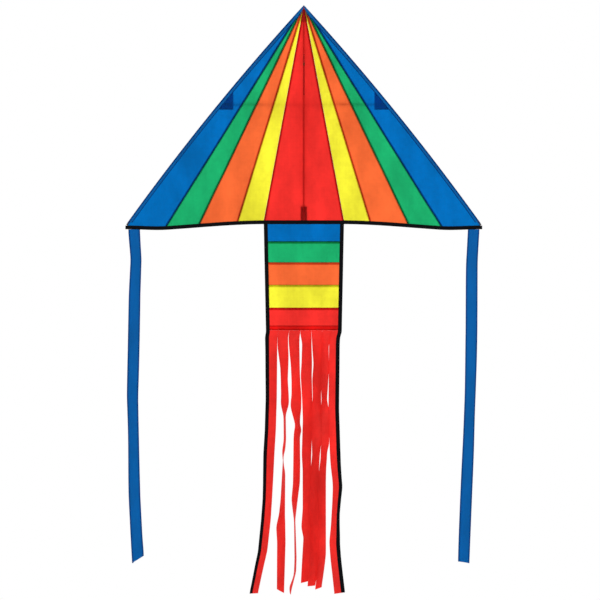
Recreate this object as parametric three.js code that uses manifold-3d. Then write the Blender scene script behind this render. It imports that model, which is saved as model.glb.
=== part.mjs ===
// A single-line delta kite, hanging by its nose.
// A striped sail is held by two leading-edge spars, a spine and a spreader that lifts out of two open seats.
// A keel on the front carries the towing eyelet, a striped tail with a fringe hangs from the trailing edge,
// and a ribbon streamer hangs from each wing tip.
// Millimetres, +Z up. The towing side faces -Y, the kite's own right wing is on +X, the origin is the nose.

import * as THREE from 'three';
import Module from 'manifold-3d';
import { mergeVertices } from 'three/addons/utils/BufferGeometryUtils.js';

const wasm = await Module();
wasm.setup();

// ---- Driving dimensions ----

// Sail
const halfSpan = 610;
const centreChord = 726; // nose to trailing edge, down the middle
const edgeDrop = 22; // how far the trailing edge falls from the middle towards the wing tip
const tipRise = 7.5; // how far it rises again in its last stretch
const tipRiseLength = 147;
const trailingStep = 20; // longest straight piece in the trailing edge's curve
const leadingBow = 14.6; // how far the leading edge bows outward from a straight line
const redHalfWidth = 135; // each width is measured along the trailing edge
const yellowWidth = 89;
const orangeWidth = 131;
const greenWidth = 114;
const dihedral = THREE.MathUtils.degToRad(6); // each wing leans back from the middle panel

// Cloth and tape
const clothThickness = 0.8;
const bindingThickness = 2.4;
const bindingWidth = 11;
const edgeTapeThickness = 1.6; // tape down both sides of the tail
const edgeTapeWidth = 13;
const seamGap = 0.4; // between neighbouring pieces
const layerGap = 0.3; // between layers that lie on each other
const foldGap = 0.5; // from a fold line to the cloth on each side of it
const bindingFoldGap = 1.3; // from a fold line to the binding on each side of it
const hangGap = 1.5; // between a hanging piece and what it swings from

// Rods, their caps and their sleeves
const sparDiameter = 4;
const spineDiameter = 5;
const spreaderDiameter = 5;
const rodClearance = 0.4; // around a rod in its pocket or sleeve
const capClearance = 0.3; // between a rod and the cap on it
const capWall = 0.7;
const capLength = 16;
const sleeveWall = 0.8;
const sleeveWidth = 13;
const sleeveStart = 30; // from the nose
const sparStart = 60;
const capStop = 6; // short of the wing tip

// Nose and spine pockets
const nosePatchHeight = 20;
const spineTop = 16; // below the nose
const spineFoot = 4; // above the trailing edge
const pocketWidth = 20;
const pocketCrestWidth = 9;
const pocketHem = 0.6; // thickness at the pocket's sewn sides
const pocketWall = 0.7; // cloth between the bore and the sail
const pocketEnd = 3; // closed end of each pocket
const topPocketStart = 12;
const topPocketLength = 45;
const bottomPocketLength = 47;

// Spreader seats
const spreaderLevel = 332; // below the nose
const seatLength = 32;
const seatInset = 3; // from the leading-edge sleeve to the seat's outer end
const seatWall = 0.8;
const seatLip = 3.5; // how far the walls reach past the spreader's axis
const patchBelow = 18; // the seat's patch reaches this far below the spreader

// Keel
const keelTop = 60;
const keelFootRise = 20; // from the trailing edge up to the foot of the keel's sewn edge
const keelRoot = 1.1; // from the sail's middle plane to the keel's sewn edge
const towLevel = 219; // of the eyelet, below the nose
const towDepth = 129; // of the eyelet, in front of the sail
const keelTipRadius = 11;
const towPatchReach = 18; // from the eyelet back towards the sail
const eyeletFlangeRadius = 7;
const eyeletHoleRadius = 4;
const eyeletWall = 0.6;

// Tail
const tailBands = [['blue', 58], ['green', 71], ['orange', 76], ['yellow', 77], ['red', 60]];
const hemHeight = 15;
const hemThickness = 1.6;
const tailTaper = 7; // how much narrower each half of the tail is at its hem
const fringeLength = 886;
const fringeWidths = [42, 36, 38, 38, 36, 30, 36]; // of the strips, left to right; they fill the hem's width
const fringeLean = [-46, -8, -8, 0, 0, 0, 12]; // sideways lean of each strip's free end
const fringeShortening = [0, 8, 0, 38, 26, 16, 0];

// Streamers
const streamerWidth = 40;
const streamerLength = 1112;
const streamerInset = 10; // from the wing tip to the ribbon's outer edge
const streamerLean = 20; // of the free end, towards the tail
const streamerSlant = { left: 25, right: 7 }; // the outer edge is longer by this

// ---- Finishes ----

const finishes = {
  blue: ['#0b63b0', 0.55],
  green: ['#12a35a', 0.55],
  orange: ['#f4622d', 0.55],
  yellow: ['#efe62e', 0.5],
  red: ['#ea2b2e', 0.55],
  black: ['#101012', 0.8],
  rod: ['#26262a', 0.35],
  vinyl: ['#17171a', 0.5],
  brass: ['#8f7a45', 0.35],
};

function finish(name) {
  const [color, roughness] = finishes[name];
  return new THREE.MeshStandardMaterial({ color, roughness, metalness: name === 'brass' ? 0.9 : 0 });
}

// ---- Shared geometry helpers ----

function named(name, geometry, finishName) {
  const mesh = new THREE.Mesh(geometry, finish(finishName));
  mesh.name = name;
  return mesh;
}

function polygon(points) {
  return new THREE.Shape(points.map(([x, z]) => new THREE.Vector2(x, z)));
}

// A flat sheet drawn in X and Z, with its thickness centred on a plane at y.
function sheet(shape, thickness = clothThickness, y = 0) {
  const geometry = new THREE.ExtrudeGeometry(shape, { depth: thickness, bevelEnabled: false });
  geometry.translate(0, 0, -thickness / 2);
  geometry.rotateX(Math.PI / 2);
  return geometry.translate(0, y, 0);
}

// From the middle plane of one sheet to the middle plane of the next sheet laid on it.
const layerPitch = clothThickness + layerGap;

// The plane behind which a piece can stand on a patch that lies on the back of the sail.
const behindPatch = layerPitch + clothThickness / 2 + layerGap;

function roundSection(radius, sides = 12) {
  const points = [];
  for (let side = 0; side < sides; side += 1) {
    const angle = 2 * Math.PI * side / sides;
    points.push([radius * Math.cos(angle), radius * Math.sin(angle)]);
  }
  return polygon(points);
}

// A vinyl cap, open at its foot on the origin and closed towards +Y.
function rodCap(rodRadius) {
  const inner = rodRadius + capClearance;
  const outer = inner + capWall;
  const profile = [
    [0, capLength - capWall], [inner, capLength - capWall], [inner, 0],
    [outer, 0], [outer, capLength], [0, capLength],
  ].map(([radius, along]) => new THREE.Vector2(radius, along));
  return new THREE.LatheGeometry(profile, 16);
}

// Puts a cap on the end of a curved rod: the cap's closed end is at the given share of the rod's curve.
function capOn(mesh, curve, share, outward) {
  const direction = curve.getTangentAt(share).multiplyScalar(outward);
  mesh.quaternion.setFromUnitVectors(new THREE.Vector3(0, 1, 0), direction);
  mesh.position.copy(curve.getPointAt(share)).addScaledVector(direction, capWall + capClearance - capLength);
  return mesh;
}

function toSolid(geometry) {
  const bare = geometry.clone();
  bare.deleteAttribute('normal');
  bare.deleteAttribute('uv');
  const merged = mergeVertices(bare, 1e-4);
  return new wasm.Manifold(new wasm.Mesh({
    numProp: 3,
    vertProperties: new Float32Array(merged.attributes.position.array),
    triVerts: new Uint32Array(merged.index.array),
  }));
}

function cutFrom(geometry, cutter) {
  const { vertProperties, triVerts } = toSolid(geometry).subtract(toSolid(cutter)).getMesh();
  const cut = new THREE.BufferGeometry();
  cut.setAttribute('position', new THREE.Float32BufferAttribute(vertProperties, 3));
  cut.setIndex(new THREE.Uint32BufferAttribute(triVerts, 1));
  return cut;
}

// ---- Edges of the sail, for the wing on +X, drawn flat in X and Z ----

const wingTip = new THREE.Vector2(halfSpan, -(centreChord + edgeDrop - tipRise));
const edgeChord = wingTip.length();
const edgeRadius = edgeChord ** 2 / (8 * leadingBow) + leadingBow / 2;
const edgeAlong = wingTip.clone().normalize();
const edgeOutward = new THREE.Vector2(-edgeAlong.y, edgeAlong.x);
const edgeCentre = wingTip.clone().multiplyScalar(0.5).addScaledVector(edgeOutward, leadingBow - edgeRadius);
const edgeHalfAngle = Math.asin(edgeChord / 2 / edgeRadius);

// A point on the leading edge at a share of its length from the nose, moved in towards the sail.
function leadingEdge(share, inset = 0) {
  const angle = (1 - 2 * share) * edgeHalfAngle;
  return edgeCentre.clone()
    .addScaledVector(edgeOutward, (edgeRadius - inset) * Math.cos(angle))
    .addScaledVector(edgeAlong, -(edgeRadius - inset) * Math.sin(angle));
}

// The first share of the leading edge, moved in, whose point passes a test that holds from there on.
function firstShare(inset, passes) {
  let low = 0;
  let high = 1;
  for (let halving = 0; halving < 40; halving += 1) {
    const middle = (low + high) / 2;
    if (passes(leadingEdge(middle, inset))) {
      high = middle;
    } else {
      low = middle;
    }
  }
  return high;
}

function trailingEdge(x) {
  const { smoothstep } = THREE.MathUtils;
  const drop = edgeDrop * smoothstep(Math.abs(x), redHalfWidth, halfSpan);
  const rise = tipRise * smoothstep(Math.abs(x), halfSpan - tipRiseLength, halfSpan);
  return rise - drop - centreChord;
}

// How far from the spine a seam is at a level; the seam runs from the nose to x = seamEnd.
function seamAt(seamEnd, level) {
  return seamEnd * level / trailingEdge(seamEnd);
}

function stretch(from, to, steps, pointAt) {
  const points = [];
  for (let step = 0; step <= steps; step += 1) {
    points.push(pointAt(THREE.MathUtils.lerp(from, to, step / steps)));
  }
  return points;
}

// Points at a distance below the trailing edge, close enough together to follow its curve.
function trailingStretch(from, to, below) {
  const steps = Math.ceil(Math.abs(to - from) / trailingStep);
  return stretch(from, to, steps, (x) => [x, trailingEdge(x) - below]);
}

// ---- Sail panels ----

const panelInset = sleeveWidth + seamGap;

// One gore, between two seams and below the leading-edge sleeve. The outermost runs out to the wing tip.
function gore(innerSeam, outerSeam, innerGap, edgeSteps) {
  const isOutermost = outerSeam >= halfSpan;
  const pastSeam = (seam, gap) => (p) => p.x >= seamAt(seam, p.y) + gap;
  const pastFoot = (p) => p.y <= trailingEdge(p.x);
  const upper = firstShare(panelInset, pastSeam(innerSeam, innerGap));
  const lower = firstShare(panelInset, isOutermost ? pastFoot : pastSeam(outerSeam, -seamGap / 2));
  const edge = stretch(upper, lower, edgeSteps, (share) => leadingEdge(share, panelInset).toArray());
  const corner = isOutermost ? edge.pop()[0] : outerSeam - seamGap / 2;
  const foot = trailingStretch(corner, innerSeam + innerGap, 0);
  return sheet(polygon([...edge, ...foot]));
}

function redHalfPanel() {
  const top = spineTop;
  const outer = (level) => seamAt(redHalfWidth, level) - foldGap;
  return sheet(polygon([
    [seamGap / 2, -top], [outer(-top), -top], [outer(-centreChord), -centreChord], [seamGap / 2, -centreChord],
  ]));
}

function trailingBinding(from, to) {
  return sheet(polygon([
    ...trailingStretch(from, to, seamGap),
    ...trailingStretch(to, from, seamGap + bindingWidth),
  ]), bindingThickness);
}

// ---- Wing: gores, leading-edge spar in its sleeve, and the seat for the spreader ----

const sparRadius = sparDiameter / 2;
const sleeveRadius = sparRadius + rodClearance + sleeveWall;

// The spar's own line, which stays one sleeve radius inside the leading edge.
class SparLine extends THREE.Curve {
  constructor(startLength, stopLength) {
    super();
    this.start = startLength / edgeChord;
    this.stop = 1 - stopLength / edgeChord;
  }

  getPoint(share, target = new THREE.Vector3()) {
    const point = leadingEdge(THREE.MathUtils.lerp(this.start, this.stop, share), sleeveRadius);
    return target.set(point.x, point.y, 0);
  }
}

function alongEdge(section, line) {
  const geometry = new THREE.ExtrudeGeometry(section, { extrudePath: line, steps: 16 });
  return geometry.rotateX(Math.PI / 2);
}

// A folded hem round the spar: a round tube with a flat double edge towards the sail.
function sleeveSection() {
  const half = clothThickness / 2;
  const meet = Math.asin(half / sleeveRadius);
  const hemEdge = -(sleeveWidth - sleeveRadius);
  const section = new THREE.Shape();
  section.moveTo(half, hemEdge);
  for (let side = 0; side <= 10; side += 1) {
    const angle = THREE.MathUtils.lerp(meet - Math.PI / 2, 3 * Math.PI / 2 - meet, side / 10);
    const [x, y] = [sleeveRadius * Math.cos(angle), sleeveRadius * Math.sin(angle)];
    section.lineTo(side === 0 ? half : side === 10 ? -half : x, y);
  }
  section.lineTo(-half, hemEdge);
  section.closePath();
  section.holes.push(new THREE.Path(roundSection(sparRadius + rodClearance, 10).getPoints()));
  return section;
}

const spreaderRadius = spreaderDiameter / 2;
const spreaderCapRadius = spreaderRadius + capClearance + capWall;
const seatHalfWidth = spreaderCapRadius + rodClearance;
const spreaderOffset = behindPatch + seatWall + seatHalfWidth; // behind the wing's own plane

// The seat ends beside the leading-edge sleeve.
const sleeveAtSpreader = leadingEdge(firstShare(panelInset, (p) => p.y <= -spreaderLevel), panelInset);
const seatStart = sleeveAtSpreader.x - seatInset - seatLength;

// A trough across the back of the wing, open to the rear, in which the spreader's cap lies.
function spreaderSeat() {
  const [near, far] = [behindPatch, spreaderOffset + seatLip];
  const outer = seatHalfWidth + seatWall;
  const profile = polygon([
    [-outer, near], [outer, near], [outer, far], [seatHalfWidth, far],
    [seatHalfWidth, near + seatWall], [-seatHalfWidth, near + seatWall], [-seatHalfWidth, far], [-outer, far],
  ]);
  const geometry = new THREE.ExtrudeGeometry(profile, { depth: seatLength, bevelEnabled: false });
  const [up, back, inward] = [[0, 0, 1], [0, 1, 0], [-1, 0, 0]].map((axis) => new THREE.Vector3(...axis));
  geometry.applyMatrix4(new THREE.Matrix4().makeBasis(up, back, inward));
  return geometry.translate(seatStart + seatLength, 0, -spreaderLevel);
}

function seatPatch() {
  const foot = -(spreaderLevel + patchBelow);
  const upper = firstShare(panelInset, (p) => p.x >= seatStart);
  const lower = firstShare(panelInset, (p) => p.y <= foot);
  const corners = [upper, lower].map((share) => leadingEdge(share, panelInset).toArray());
  return sheet(polygon([...corners, [seatStart, foot]]), clothThickness, layerPitch);
}

function wing(side) {
  const group = new THREE.Group();
  const seams = [redHalfWidth];
  for (const width of [yellowWidth, orangeWidth, greenWidth]) {
    seams.push(seams.at(-1) + width);
  }
  seams.push(halfSpan);
  ['yellow', 'orange', 'green', 'blue'].forEach((colour, index) => {
    const innerGap = index === 0 ? foldGap : seamGap / 2;
    const panel = gore(seams[index], seams[index + 1], innerGap, colour === 'blue' ? 8 : 1);
    group.add(named(`${colour}_gore_${side}`, panel, colour));
  });
  const spar = new SparLine(sparStart, capStop);
  const cap = capOn(named(`spar_cap_${side}`, rodCap(sparRadius), 'vinyl'), new SparLine(sparStart, capStop), 1, 1);
  const upright = new THREE.Group();
  upright.rotation.x = Math.PI / 2;
  upright.add(cap);
  group.add(
    named(`leading_sleeve_${side}`, alongEdge(sleeveSection(), new SparLine(sleeveStart, capStop + capLength + 2)), 'blue'),
    named(`leading_spar_${side}`, alongEdge(roundSection(sparRadius), spar), 'rod'),
    upright,
    named(`trailing_binding_${side}`, trailingBinding(redHalfWidth + bindingFoldGap, halfSpan), 'black'),
    named(`seat_patch_${side}`, seatPatch(), 'blue'),
    named(`spreader_seat_${side}`, spreaderSeat(), 'blue'),
  );
  return group;
}

// The wing leans back about the seam between the red and yellow panels.
const foldSeam = new THREE.Vector3(redHalfWidth, 0, -centreChord).normalize();
const wingTurn = new THREE.Quaternion().setFromAxisAngle(foldSeam, -dihedral);

// ---- Streamer: hangs plumb below the wing's binding, parallel to the trailing edge ----

function streamer(side) {
  const middle = halfSpan - streamerInset - streamerWidth / 2;
  const foot = trailingEdge(middle) - seamGap - bindingWidth - hangGap;
  const along = new THREE.Vector3(1, 0, 0).applyQuaternion(wingTurn);
  const half = streamerWidth / 2;
  const ribbon = polygon([
    [-half, 0], [half, 0],
    [half - streamerLean, -streamerLength], [-half - streamerLean, streamerSlant[side] - streamerLength],
  ]);
  const mesh = named(`streamer_${side}`, sheet(ribbon), 'blue');
  mesh.position.set(middle, 0, foot).applyQuaternion(wingTurn);
  mesh.rotation.z = Math.atan2(along.y, along.x);
  return mesh;
}

function halfKite(side) {
  const group = new THREE.Group();
  const turned = wing(side);
  turned.quaternion.copy(wingTurn);
  group.add(turned, streamer(side), named(`red_panel_${side}`, redHalfPanel(), 'red'));
  group.scale.x = side === 'left' ? -1 : 1;
  return group;
}

// ---- Spine in its two pockets, nose patch and the middle of the binding ----

const spineRadius = spineDiameter / 2;
const spineAxisY = behindPatch + pocketWall + rodClearance + spineRadius;

// A sewn pocket on the sail's back, closed at one end. Its open end faces the other pocket.
function spinePocket(bottom, length, closedAtTop) {
  const [wide, narrow] = [pocketWidth / 2, pocketCrestWidth / 2];
  const crest = spineAxisY + spineRadius + rodClearance + pocketWall;
  const cloth = new THREE.ExtrudeGeometry(polygon([
    [-wide, behindPatch], [wide, behindPatch], [wide, behindPatch + pocketHem],
    [narrow, crest], [-narrow, crest], [-wide, behindPatch + pocketHem],
  ]), { depth: length, bevelEnabled: false });
  const bore = new THREE.CylinderGeometry(spineRadius + rodClearance, spineRadius + rodClearance, length, 12);
  bore.rotateX(Math.PI / 2);
  bore.translate(0, spineAxisY, length / 2 + (closedAtTop ? -pocketEnd : pocketEnd));
  return cutFrom(cloth, bore).translate(0, 0, bottom);
}

function middleParts() {
  const group = new THREE.Group();
  const spineLength = centreChord - spineTop - spineFoot;
  const spine = new THREE.CylinderGeometry(spineRadius, spineRadius, spineLength, 12);
  spine.rotateX(Math.PI / 2);
  spine.translate(0, spineAxisY, -spineTop - spineLength / 2);
  const noseHalf = nosePatchHeight * halfSpan / -wingTip.y;
  const nosePatch = polygon([[0, 0], [noseHalf, -nosePatchHeight], [-noseHalf, -nosePatchHeight]]);
  const bindingHalf = redHalfWidth - bindingFoldGap;
  group.add(
    named('spine_rod', spine, 'rod'),
    named('nose_patch', sheet(nosePatch, clothThickness, layerPitch), 'black'),
    named('spine_pocket_top', spinePocket(-topPocketStart - topPocketLength, topPocketLength, true), 'black'),
    named('spine_pocket_bottom', spinePocket(-centreChord, bottomPocketLength, false), 'black'),
    named('trailing_binding_middle', trailingBinding(-bindingHalf, bindingHalf), 'black'),
  );
  return group;
}

// ---- Spreader: a rod bowed between the two seats, with a cap on each end ----

class SpreaderLine extends THREE.Curve {
  constructor() {
    super();
    const seatMiddle = new THREE.Vector3(seatStart + seatLength / 2, spreaderOffset, -spreaderLevel);
    const seat = seatMiddle.applyQuaternion(wingTurn);
    const along = new THREE.Vector3(1, 0, 0).applyQuaternion(wingTurn);
    this.slope = Math.atan2(along.y, along.x);
    this.radius = seat.x / Math.sin(this.slope);
    this.nearest = seat.y - this.radius * (1 - Math.cos(this.slope));
    this.level = seat.z;
    this.endAngle = this.slope + (seatLength / 2 - capWall - capClearance) / this.radius;
  }

  getPoint(share, target = new THREE.Vector3()) {
    const angle = THREE.MathUtils.lerp(-this.endAngle, this.endAngle, share);
    const back = this.nearest + this.radius * (1 - Math.cos(angle));
    return target.set(this.radius * Math.sin(angle), back, this.level);
  }
}

function spreader() {
  const group = new THREE.Group();
  const line = new SpreaderLine();
  const rod = new THREE.ExtrudeGeometry(roundSection(spreaderRadius), { extrudePath: line, steps: 24 });
  group.add(
    named('spreader_rod', rod, 'rod'),
    capOn(named('spreader_cap_right', rodCap(spreaderRadius), 'vinyl'), line, 1, 1),
    capOn(named('spreader_cap_left', rodCap(spreaderRadius), 'vinyl'), line, 0, -1),
  );
  return group;
}

// ---- Keel: a triangular fin on the front, drawn as depth from the sail against height ----

const keelBottom = centreChord - keelFootRise;

// The direction, seen from the eyelet, in which a straight edge from a root corner touches the round tip.
function tipAngle(rootHeight, turn) {
  const reach = new THREE.Vector2(keelRoot - towDepth, rootHeight + towLevel);
  return reach.angle() + turn * Math.acos(keelTipRadius / reach.length());
}

const upperTipAngle = tipAngle(-keelTop, -1);
const lowerTipAngle = tipAngle(-keelBottom, 1) - 2 * Math.PI;

function tipArc() {
  return stretch(upperTipAngle, lowerTipAngle, 8, (angle) => [
    towDepth + keelTipRadius * Math.cos(angle), -towLevel + keelTipRadius * Math.sin(angle),
  ]);
}

function fin(outlinePoints, offset) {
  const shape = polygon(outlinePoints);
  const hole = eyeletHoleRadius + eyeletWall + layerGap;
  const holePoints = roundSection(hole, 16).getPoints().map((p) => p.add(new THREE.Vector2(towDepth, -towLevel)));
  shape.holes.push(new THREE.Path(holePoints));
  const geometry = new THREE.ExtrudeGeometry(shape, { depth: clothThickness, bevelEnabled: false });
  geometry.translate(0, 0, offset - clothThickness / 2);
  const [front, up, left] = [[0, -1, 0], [0, 0, 1], [-1, 0, 0]].map((axis) => new THREE.Vector3(...axis));
  return geometry.applyMatrix4(new THREE.Matrix4().makeBasis(front, up, left));
}

// Where the keel's edge is at a depth, between a root corner and the round tip.
function edgeHeight(rootHeight, angle, depth) {
  const touch = [towDepth + keelTipRadius * Math.cos(angle), -towLevel + keelTipRadius * Math.sin(angle)];
  return THREE.MathUtils.mapLinear(depth, keelRoot, touch[0], rootHeight, touch[1]);
}

// A ring round the X axis through the eyelet, from closed profile points of radius and place along the axis.
function eyeletRing(profile) {
  const points = [...profile, profile[0]].map(([radius, along]) => new THREE.Vector2(radius, along));
  const geometry = new THREE.LatheGeometry(points, 24);
  return geometry.rotateZ(-Math.PI / 2).translate(0, -towDepth, -towLevel);
}

function keel() {
  const group = new THREE.Group();
  const patchDepth = towDepth - towPatchReach;
  const patch = [
    [patchDepth, edgeHeight(-keelTop, upperTipAngle, patchDepth)], ...tipArc(),
    [patchDepth, edgeHeight(-keelBottom, lowerTipAngle, patchDepth)],
  ];
  const patchOffset = clothThickness + layerGap;
  const flangeFace = patchOffset + clothThickness / 2 + layerGap;
  const half = flangeFace + eyeletWall;
  const barrel = eyeletHoleRadius + eyeletWall;
  group.add(
    named('keel_panel', fin([[keelRoot, -keelTop], ...tipArc(), [keelRoot, -keelBottom]], 0), 'red'),
    named('tow_patch_left', fin(patch, patchOffset), 'black'),
    named('tow_patch_right', fin(patch, -patchOffset), 'black'),
    named('eyelet', eyeletRing([
      [eyeletHoleRadius, -half], [eyeletFlangeRadius, -half], [eyeletFlangeRadius, -flangeFace],
      [barrel, -flangeFace], [barrel, half], [eyeletHoleRadius, half],
    ]), 'brass'),
    named('eyelet_washer', eyeletRing([
      [barrel + layerGap, flangeFace], [eyeletFlangeRadius, flangeFace],
      [eyeletFlangeRadius, half], [barrel + layerGap, half],
    ]), 'brass'),
  );
  return group;
}

// ---- Tail: coloured bands, a hem and a fringe, with tape down both sides ----

const tailTopHalf = redHalfWidth;
const tailBottomHalf = tailTopHalf - tailTaper;
const tailTop = -(centreChord + seamGap + bindingWidth + hangGap);
const bandsHeight = tailBands.reduce((sum, [, height]) => sum + height, 0);
const hemFoot = tailTop - bandsHeight - hemHeight;

function tailHalf(level) {
  return THREE.MathUtils.mapLinear(level, tailTop, hemFoot, tailTopHalf, tailBottomHalf);
}

function tailBand(top, foot, thickness) {
  const inner = (level) => tailHalf(level) - edgeTapeWidth - seamGap;
  return sheet(polygon([[-inner(top), top], [inner(top), top], [inner(foot), foot], [-inner(foot), foot]]), thickness);
}

function sideTape(side) {
  const sign = side === 'left' ? -1 : 1;
  const corners = [[tailTop, 0], [tailTop, edgeTapeWidth], [hemFoot, edgeTapeWidth], [hemFoot, 0]];
  const points = corners.map(([level, inset]) => [sign * (tailHalf(level) - inset), level]);
  return sheet(polygon(points), edgeTapeThickness);
}

function quadStrip(left, right, top, foot, lean, thickness) {
  return sheet(polygon([[left, top], [right, top], [right + lean, foot], [left + lean, foot]]), thickness);
}

function tail() {
  const group = new THREE.Group();
  let top = tailTop;
  for (const [colour, height] of tailBands) {
    group.add(named(`tail_band_${colour}`, tailBand(top, top - height + seamGap, clothThickness), colour));
    top -= height;
  }
  group.add(named('tail_hem', tailBand(top, hemFoot, hemThickness), 'red'));
  for (const side of ['left', 'right']) {
    group.add(named(`tail_tape_${side}`, sideTape(side), 'black'));
  }
  return group;
}

function fringe() {
  const group = new THREE.Group();
  const share = 2 * tailBottomHalf / fringeWidths.reduce((sum, width) => sum + width);
  const top = hemFoot - hangGap;
  const lastIndex = fringeWidths.length - 1;
  let edge = -tailBottomHalf;
  fringeWidths.forEach((width, index) => {
    const [foot, lean] = [top - fringeLength + fringeShortening[index], fringeLean[index]];
    let left = edge + seamGap / 2;
    let right = edge + width * share - seamGap / 2;
    if (index === 0) {
      const tape = quadStrip(left, left + edgeTapeWidth, top, foot, lean, edgeTapeThickness);
      group.add(named('fringe_tape_left', tape, 'black'));
      left += edgeTapeWidth + seamGap;
    }
    if (index === lastIndex) {
      const tape = quadStrip(right - edgeTapeWidth, right, top, foot, lean, edgeTapeThickness);
      group.add(named('fringe_tape_right', tape, 'black'));
      right -= edgeTapeWidth + seamGap;
    }
    group.add(named(`fringe_strip_${index + 1}`, quadStrip(left, right, top, foot, lean, clothThickness), 'red'));
    edge += width * share;
  });
  return group;
}

const kite = new THREE.Group();
kite.add(halfKite('left'), halfKite('right'), middleParts(), spreader(), keel(), tail(), fringe());

export default kite;
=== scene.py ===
"""A delta kite hanging by its nose: the looks of every piece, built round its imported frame.

Metres, +Z up, the towing side faces -Y and the kite's own right wing is on +X, as in the frame.
"""

import logging
import math
from dataclasses import dataclass, field
from enum import Enum
from typing import Sequence

import bpy
import numpy as np
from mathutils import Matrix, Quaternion, Vector, noise


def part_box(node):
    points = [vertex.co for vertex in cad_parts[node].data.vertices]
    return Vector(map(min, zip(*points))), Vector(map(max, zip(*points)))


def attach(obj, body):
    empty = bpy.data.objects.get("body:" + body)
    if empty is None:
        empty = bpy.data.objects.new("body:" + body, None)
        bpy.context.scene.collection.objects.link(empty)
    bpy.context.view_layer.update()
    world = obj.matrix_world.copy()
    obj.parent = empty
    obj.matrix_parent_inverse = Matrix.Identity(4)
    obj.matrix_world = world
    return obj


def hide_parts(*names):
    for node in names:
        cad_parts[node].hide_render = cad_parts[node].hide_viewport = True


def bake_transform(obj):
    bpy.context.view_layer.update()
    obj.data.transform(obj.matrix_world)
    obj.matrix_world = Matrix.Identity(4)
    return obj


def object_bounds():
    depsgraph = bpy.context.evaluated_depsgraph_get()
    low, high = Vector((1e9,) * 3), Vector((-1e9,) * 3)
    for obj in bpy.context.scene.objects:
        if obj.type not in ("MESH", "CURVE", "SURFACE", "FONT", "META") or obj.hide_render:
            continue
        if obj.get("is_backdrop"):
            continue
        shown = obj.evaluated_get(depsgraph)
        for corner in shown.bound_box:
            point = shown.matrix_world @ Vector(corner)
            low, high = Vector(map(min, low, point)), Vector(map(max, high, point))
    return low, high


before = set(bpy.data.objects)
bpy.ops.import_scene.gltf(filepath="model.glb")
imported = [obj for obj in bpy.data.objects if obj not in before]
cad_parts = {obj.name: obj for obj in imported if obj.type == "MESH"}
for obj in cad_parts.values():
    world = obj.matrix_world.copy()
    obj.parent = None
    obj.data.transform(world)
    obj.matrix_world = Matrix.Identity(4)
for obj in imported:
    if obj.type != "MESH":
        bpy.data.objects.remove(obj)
CAD_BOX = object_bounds()
MM = 0.001

log = logging.getLogger("delta_kite")


# ---- Names that several pieces share ----


class Side(Enum):
    """The kite's own left or right."""

    LEFT = "left"
    RIGHT = "right"

    @property
    def sign(self) -> int:
        """-1 for the wing on -X, +1 for the wing on +X."""
        return -1 if self is Side.LEFT else 1


class Dye(Enum):
    """The colours of the nylon."""

    BLUE = "blue"
    GREEN = "green"
    ORANGE = "orange"
    YELLOW = "yellow"
    RED = "red"


LINEAR = {
    Dye.BLUE: (0.0, 0.15, 0.47),
    Dye.GREEN: (0.012, 0.42, 0.15),
    Dye.ORANGE: (0.90, 0.15, 0.038),
    Dye.YELLOW: (0.86, 0.80, 0.04),
    Dye.RED: (0.86, 0.032, 0.026),
}


# ---- Node helpers ----


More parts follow.
